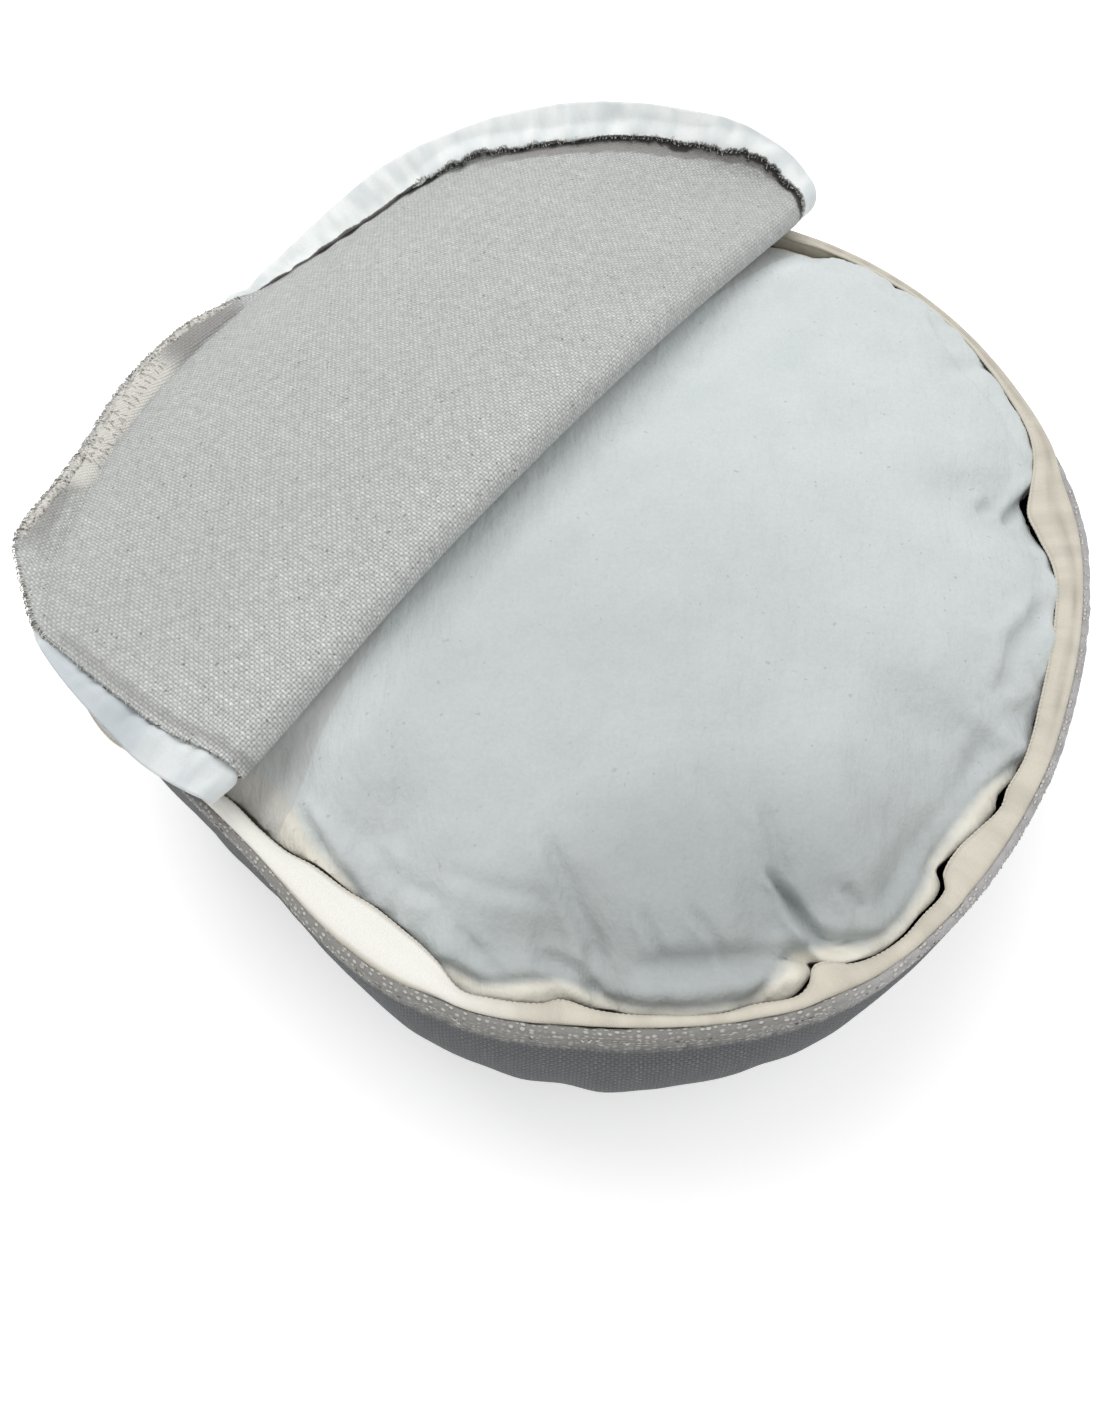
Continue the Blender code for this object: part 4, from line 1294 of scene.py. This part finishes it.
panelTape = {
    "start": -178,
    "end": 181,
    "width": 0.014,
    "columns": 720,
    "rows": 16,
    "over": 0.003,  # how far its ragged edge reaches over the canvas
    "lift": 0.003,
    "under": 0.0017,
    "pucker": 0.0021,
    "puckerPitch": 0.011,
}


def looseEdge(angle):
    # 1 where the tape's inner edge is ragged and stands off the canvas, 0 where it lies close
    return smooth((angle + 7) / 5)


def tapeSpan(angle):
    # the distances out along the strip between which the tape lies, and whether it is over or under
    width, reach = stripWidth(angle), stripReach(angle)
    over = window(angle, -33, 57, 5, 5)
    under = window(angle, -140, -34, 6, 3)
    ragged = lump(angle * 0.35, 2.0) * 0.0022 + lump(angle * 1.1, 2.0) * 0.0012
    ragged += lump(angle * 4.5, 8.0) * 0.0006
    loose = 0.35 + 0.65 * looseEdge(angle)
    first = reach + 0.0007 - (panelTape["over"] + ragged) * loose * over - 0.0035 * under
    last = max(width, first + 0.004) - 0.001 * seamZone(angle)
    return first, last, over, under, reach


def discPoint(across, down):
    # a square grid drawn out to a disc, so that its cells stay nearly square
    x, y = 2 * across - 1, 2 * down - 1
    return Vector((x * math.sqrt(1 - y * y / 2), y * math.sqrt(1 - x * x / 2), 0))


def stripShare(flat):
    # the angle of a point of the flat cloth, and how far it lies beyond the panel's sewn edge
    spot = alongFold * flat[0] + behindFold * flat[1]
    angle = angleOf(spot)
    return (angle + 178) % 360 - 178, spot.length - panelRim(angle)


def makeTopPanel():
    def place(across, down):
        point = discPoint(across, down)
        angle = angleOf(point)
        turned = (angle + 178) % 360 - 178
        reach = stripReach(turned)
        flat = polar(point.length * (panelRim(angle) + reach), angle, 0)
        along, back = flat.dot(alongFold), flat.dot(behindFold)
        beyond = flat.length - panelRim(angle)
        if beyond > 0:
            return stripPoint(turned, beyond), (along, back)
        return drape(along, back), (along, back)

    def detail(flat, point):
        along, back = flat
        angle, beyond = stripShare(flat)
        around = math.radians(angle) * 0.17
        onFlap = smooth((flatFold - back - halfRoll) / 0.02)
        gather = lump(around / panel["puckerPitch"] * 1.6, beyond / 0.03, 9.0)
        gather *= panel["pucker"] * math.exp(-((beyond / panel["puckerReach"]) ** 2))
        sag = lump(along / 0.05, back / 0.05, 3.0) * panel["sag"] * onFlap * smooth(-beyond / 0.02)
        ribs = math.sin(math.radians(angle) * 0.17 / 0.0052 + lump(around / 0.02, beyond / 0.01) * 2.5)
        ribs *= window(angle, -106, -86, 6, 8) * math.exp(-((beyond / 0.012) ** 2))
        ridge = seamZone(angle) * math.exp(-(((beyond - 0.0006) / 0.0016) ** 2))
        return gather + sag + ribs * panel["ribs"] + ridge * panel["ridge"]

    def marks(flat, point):
        # the seam allowance at the far left is cream in the middle, painted brighter there as its lit face,
        # with painted shade towards its ends; painted shade also lies in a band and a dark shadow line along
        # the top strip's edge, and the canvas's edge is darkened at the lower left
        angle, beyond = stripShare(flat)
        wave = lump(math.radians(angle) * 30, 2.0) * panel["wave"]
        width = stripWidth(angle)
        narrow = panel["creamStart"] * smooth((-75 - angle) / 5)
        over = smooth((beyond + wave - 0.0008 - narrow) / 0.0012) * seamZone(angle)
        creamy = window(angle, -79, -47, 4, 5)
        # painted shade on the taupe ends of the seam allowance
        taupeShade = 0.75 * window(angle, -90, -74, 4, 4) + smooth((angle + 52) / 6)
        inTop = window(angle, -30, 58, 10, 4)
        ragged = tapeSpan(angle)[0]
        deep = panel["soilDepth"] - panel["soilDepth"] * smooth((angle - 35) / 12)
        # painted shadow of the top strip: a mid-grey band on the canvas below its edge
        shadeBelowStrip = 0.95 * smooth((angle - 4) / 10) * smooth((beyond + deep + wave * 1.5) / 0.0008)
        # a painted shadow line under the strip's raised ragged edge
        line = smooth((beyond - ragged + 0.0022 + 0.0008 * smooth((angle - 20) / 15)) / 0.001)
        # the canvas darkened along its edge at the lower left
        left = 0.55 * window(angle, -140, -98, 8, 6)
        left *= smooth((beyond - stripReach(angle) + 0.0064 + wave * 2) / 0.002)
        left *= smooth((stripReach(angle) - beyond - 0.001) / 0.002)
        along, back = flat
        near = smooth((0.012 - abs(flatFold - halfRoll - back) * 0.22 - along * 0.05 - 0.004) / 0.014)
        # the cream is painted brighter as the seam allowance's lit face; the shade mark is painted shade with
        # the darkened lower-left edge; the line is a painted shadow line
        return {
            "pale": over * creamy * smooth((width - beyond - 0.0012) / 0.0012),
            "soil": max(over * min(1.0, taupeShade) * 0.9, inTop * shadeBelowStrip, left),
            "line": inTop * line,
            "near": near,
        }

    mesh = clothGrid(panel["cells"], panel["cells"], place, detail, flapLook["size"], marks)
    piece = addPiece("topPanel", mesh, flapCanvas, "top_canvas")
    thicken(piece, cover["canvas"])
    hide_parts("top_panel")


makeTopPanel()
print("top panel made")


def makeBandTape():
    turn = bandTape["end"] - bandTape["start"]

    def place(along, across):
        angle = bandTape["start"] + turn * along
        return bandTapePoint(angle, across), (across * bandTape["width"], along * 1.1 - 0.55)

    def marks(flat, point):
        angle = bandTape["start"] + turn * (flat[1] + 0.55) / 1.1
        across = flat[0] / bandTape["width"]
        # painted light: the tape brightened over the front left across its inner part, and wholly where it
        # lies closed at the left
        paintedShading = window(angle, -168, -92, 8, 14)
        paintedShading *= max(window(across, 0.4, 1.08, 0.12, 0.15), smooth((-140 - angle) / 5))
        # painted shade along a lengthwise crease
        crease = math.exp(-(((across - 0.66 - 0.05 * lump(angle * 0.12, 1.0)) / 0.05) ** 2))
        crease *= window(angle, -34, 60, 10, 10) * (0.75 + 0.5 * lump(angle * 0.3, 6.0))
        return {"pale": paintedShading, "crease": crease}

    mesh = clothGrid(bandTape["columns"], bandTape["rows"], place, lambda flat, point: 0.0, 1.2, marks)
    piece = addPiece("bandZipTape", mesh, creamTape, "cream_tape")
    thicken(piece, cover["tape"])
    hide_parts("band_zip_tape")


def makeCoil():
    # the zip's coil as a beaded cord along the tape's free edge
    count = bandTape["coilSteps"]
    turn = bandTape["end"] - bandTape["start"]
    angles = [bandTape["start"] + turn * step / count for step in range(count + 1)]
    spots, runs = [], [0.0]
    for angle in angles:
        centre = bandTapePoint(angle, 1.0)
        side = (centre - bandTapePoint(angle, 0.9)).normalized()
        ahead = polar(1.0, angle + 90, 0)
        spots.append((centre, side, ahead.cross(side)))
    for before, after in zip(spots, spots[1:]):
        runs.append(runs[-1] + (after[0] - before[0]).length)

    def halves(step, turn):
        swell = 0.16 * math.cos(2 * math.pi * runs[step] / bandTape["coilPitch"])
        bead = bandTape["coilRadius"] * (1 + swell)
        return bead, bead

    return addTube("bandZipCoil", spots, halves, 8, creamTape, "cream_tape")


makeBandTape()
makeCoil()
print("band tape made")


def tapePoint(angle, across):
    first, last, over, under, reach = tapeSpan(angle)
    distance = first + (last - first) * across
    beyond = distance - reach
    lift = panelTape["lift"] * (0.4 + 0.6 * looseEdge(angle))
    rise = lift * over * (1 - smooth((beyond + 0.0015) / 0.0065))
    beneath = max(seamZone(angle), 1 - smooth(beyond / 0.0032))
    return stripPoint(angle, distance, rise - panelTape["under"] * under * beneath)


def makePanelTape():
    turn = panelTape["end"] - panelTape["start"]

    def place(along, across):
        flat = (across * panelTape["width"], along * 1.06 - 0.53)
        return tapePoint(panelTape["start"] + turn * along, across), flat

    def detail(flat, point):
        around, across = flat[1], flat[0] / panelTape["width"]
        angle = panelTape["start"] + turn * (around + 0.53) / 1.06
        free = window(angle, -140, 56, 12, 10) * (1 - seamZone(angle))
        ridge = lump(around / panelTape["puckerPitch"] * 1.3, across * 0.7, 5.0)
        ridge += 0.5 * lump(around / panelTape["puckerPitch"] * 3.1, across * 1.1, 15.0)
        return ridge * panelTape["pucker"] * free * (0.25 + 0.75 * math.sin(math.pi * min(1.0, across * 1.1)))

    def marks(flat, point):
        angle = panelTape["start"] + turn * (flat[1] + 0.53) / 1.06
        over = window(angle, -33, 57, 5, 5)
        # a dark ragged inner edge where it lies over the canvas: dark thread with painted shadow under it
        solid = 1 + 1.4 * (1 - looseEdge(angle))
        # painted shade: a bluish grey at the lower left
        low = 0.8 * window(angle, -124, -99, 10, 3) + 0.22 * smooth((-110 - angle) / 6)
        inner = 1 - smooth((flat[0] / panelTape["width"] - 0.03) / 0.11)
        return {"soil": over * solid * inner, "pale": low}

    mesh = clothGrid(panelTape["columns"], panelTape["rows"], place, detail, 1.2, marks)
    piece = addPiece("panelZipTape", mesh, whiteTape, "white_tape")
    thicken(piece, cover["tape"])
    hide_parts("panel_zip_tape")


makePanelTape()
print("panel tape made")


overlock = {
    "thread": 0.0002,
    "wild": 0.6,
    "wilder": 1.6,  # the looser thread over the cream strip
    "insets": (0.0036, 0.0066),
    "step": 0.1,
    "halfWidth": 0.0019,
    "halfHeight": 0.0012,
}


def overlockLoops(spots, pitch, reach, wild):
    # loops of thread over an edge: spots are (point, way out, way up) close together
    paths = []
    travelled = 0.0
    for before, after in zip(spots, spots[1:]):
        travelled += (after[0] - before[0]).length
        if travelled < pitch:
            continue
        travelled = 0.0
        point, outwards, inside = after
        ahead = (after[0] - before[0]).normalized()
        far = reach * (1 + wild * chance.uniform(-0.5, 0.9))
        tall = reach * chance.uniform(0.35, 0.9)
        slide = pitch * chance.uniform(-0.9, 0.9)
        paths.append(
            [
                point - outwards * far * 0.6 + inside * 0.0002,
                point - outwards * far * 0.1 + inside * tall + ahead * slide * 0.4,
                point + outwards * far * 0.5 + inside * tall * 0.7 + ahead * slide * 0.8,
                point + outwards * far * 0.7 - inside * tall * 0.3 + ahead * slide,
            ]
        )
    return paths


def edgeSpots(low, high, place, every):
    # spots along an edge: (centre, way out, way up)
    spots = []
    for step in range(round((high - low) / every) + 1):
        angle = low + every * step
        centre = place(angle, 0.0)
        side = (centre - place(angle, -0.0015)).normalized()
        ahead = (place(angle + 0.3, 0.0) - place(angle - 0.3, 0.0)).normalized()
        spots.append((centre, side, ahead.cross(side).normalized()))
    return spots


def canvasEdge(angle, outwards):
    # just inside the canvas's own edge, on top of the cloth
    return stripPoint(angle, stripReach(angle) + outwards - 0.0004, 0.0002)


def raggedEdge(angle, outwards):
    # the inner edge of the white tape; outwards is measured towards the canvas
    first, last, *_ = tapeSpan(angle)
    return tapePoint(angle, -outwards / (last - first))


def makeSergedEdge():
    spots = edgeSpots(-101, -34, canvasEdge, overlock["step"])
    ends = len(spots) - 1

    def halves(step, turn):
        centre = spots[step][0]
        knob = 1 + 0.34 * lump(centre.x * 900 + turn, centre.y * 900, centre.z * 900 + turn)
        knob += 0.3 * lump(centre.x * 260, centre.y * 260, turn * 0.8)
        angle = -101 + overlock["step"] * step
        knob *= 0.36 + 0.64 * smooth((angle + 90) / 5) - 0.22 * window(angle, -74, -46, 6, 6)
        taper = smooth(min(step, ends - step) / 45)
        wide = overlock["halfWidth"] * knob * (0.3 + 0.7 * taper)
        return wide, overlock["halfHeight"] * knob * (0.4 + 0.6 * taper)

    inset = [(centre - side * overlock["halfWidth"] * 0.75, side, up) for centre, side, up in spots]
    addTube("flapSergedEdge", inset, halves, 14, serged, "top_canvas")
    return spots


def insetEdge(inset):
    # a line that runs along inside the canvas's edge
    return lambda angle, outwards: canvasEdge(angle, outwards - inset)


def makeFringe():
    # each edge with the pitch and reach of its pale loops, then of its grey ones
    edges = [
        (makeSergedEdge(), (0.001, 0.0014), (0.0015, 0.0014)),
        (edgeSpots(-138, -101, canvasEdge, 0.25), (0.0016, 0.001), (0.0024, 0.0009)),
        (edgeSpots(-4, 55, raggedEdge, 0.25), (0.0016, 0.0011), (0.0009, 0.0012)),
    ]
    light, dark = [], []
    for spots, pale, grey in edges:
        light += overlockLoops(spots, *pale, overlock["wild"])
        dark += overlockLoops(spots, *grey, overlock["wild"])
    for inset in overlock["insets"]:
        loose = edgeSpots(-73, -50, insetEdge(inset), 0.2)
        light += overlockLoops(loose, 0.0026, 0.002, overlock["wild"] * overlock["wilder"])
    threads("flapOverlock", light, overlock["thread"], creamThread, "white_tape")
    threads("flapOverlockGrey", dark, overlock["thread"], greyThread, "top_canvas")


rimStitch = {
    "count": 900,
    "length": 0.0017,
    "thread": 0.00026,
    "down": 0.003,
}


def makeRimStitches():
    # short threads that show on the band's turned rim, at odd slants
    light, dark = [], []
    circle = 2 * math.pi * cover["rimRadius"]
    for index in range(rimStitch["count"]):
        angle = 360 * (index + chance.uniform(-0.5, 0.5)) / rimStitch["count"]
        if zipOpen(angle) < 0.5:
            continue
        slant = chance.uniform(-0.9, 0.9)
        length = rimStitch["length"] * chance.uniform(0.6, 1.2)
        lean = 360 * length * math.cos(slant) / circle / 2
        drop = length * math.sin(slant) / 2
        height = rimHeight(angle) + 0.0004 - rimStitch["down"] * chance.random() ** 1.6
        low = min(height, rimHeight(angle) - 0.0006)
        radius = bandRadius(angle, low) + cover["canvas"] / 2 - 0.0004 * smooth((height - low) / 0.001)
        path = [
            polar(radius - 0.0003, angle - lean, height - drop),
            polar(radius + 0.0002, angle, height),
            polar(radius - 0.0003, angle + lean, height + drop),
        ]
        (light if chance.random() < 0.6 else dark).append(path)
    threads("rimStitches", light, rimStitch["thread"], creamThread, "band_canvas")
    threads("rimStitchesGrey", dark, rimStitch["thread"], greyThread, "band_canvas")


makeFringe()
makeRimStitches()
print("stitches made")


def dressBase():
    # the underside keeps its own solid: only its finish changes
    finish = Finish("baseFinish", 0.92, sheen=0.1)
    place = finish.place()
    x, y, _ = finish.parts(place)
    a = x / bandShadedLook["pitch"]
    b = y / bandShadedLook["pitch"]
    weave = (a * math.pi).math("SINE").math("ABSOLUTE") * (b * math.pi).math("SINE").math("ABSOLUTE")
    colour = finish.blend(weave, bandShadedLook["weft"], bandShadedLook["warp"])
    colour = finish.tint(colour, finish.noise(place, 0.03, detail=3.0) * 0.2 + 0.9)
    material = finish.finish(colour, weave, 0.0003)
    nodes["base_panel"].material_slots[0].material = material


dressBase()
print("base dressed")


studio = {
    "lens": 36 * 1100 / 1422,
    "cameraAt": (-0.009, -0.239, 0.409),
    "aimAt": (-0.009, -0.074, 0.1),
    "sky": 0.74,
    "floorGlow": 0.34,
    "keyPower": 9.0,
    "keySize": 1.3,
    "keyAt": (-0.3, 0.55, 1.25),
    "fillPower": 1.5,
    "fillSize": 1.2,
    "fillAt": (0.7, -0.3, 1.2),
}


def lookAt(thing, target):
    way = Vector(target) - thing.location
    thing.rotation_euler = way.to_track_quat("-Z", "Y").to_euler()


def addLight(name, at, size, power, target=(0, 0, 0.05)):
    light = bpy.data.lights.new(name, "AREA")
    light.shape = "DISK"
    light.size = size
    light.energy = power
    lamp = addObject(name, light)
    lamp.location = at
    lookAt(lamp, target)


def makeStudio():
    form = bmesh.new()
    bmesh.ops.create_circle(form, cap_ends=True, radius=6.0, segments=64)
    mesh = bpy.data.meshes.new("floor")
    form.to_mesh(mesh)
    form.free()
    floor = addObject("floor", mesh)
    finish = Finish("floorFinish", 0.9)
    finish.shader.inputs["Base Color"].default_value = (0.93, 0.93, 0.93, 1)
    finish.shader.inputs["Emission Color"].default_value = (1, 1, 1, 1)
    finish.shader.inputs["Emission Strength"].default_value = studio["floorGlow"]
    mesh.materials.append(finish.material)

    world = bpy.data.worlds.new("studioSky")
    bpy.context.scene.world = world
    world.use_nodes = True
    sky = world.node_tree.nodes["Background"]
    sky.inputs["Color"].default_value = (1, 1, 1, 1)
    sky.inputs["Strength"].default_value = studio["sky"]
    addLight("keyLight", studio["keyAt"], studio["keySize"], studio["keyPower"])
    addLight("fillLight", studio["fillAt"], studio["fillSize"], studio["fillPower"])

    camera = addObject("photoCamera", bpy.data.cameras.new("photoCamera"))
    camera.data.lens = studio["lens"]
    camera.data.sensor_width = 36
    camera.data.sensor_fit = "AUTO"
    camera.data.clip_start = 0.01
    camera.location = studio["cameraAt"]
    lookAt(camera, studio["aimAt"])
    bpy.context.scene.camera = camera
    bpy.context.scene.view_settings.view_transform = "Standard"


makeStudio()
print("studio made")
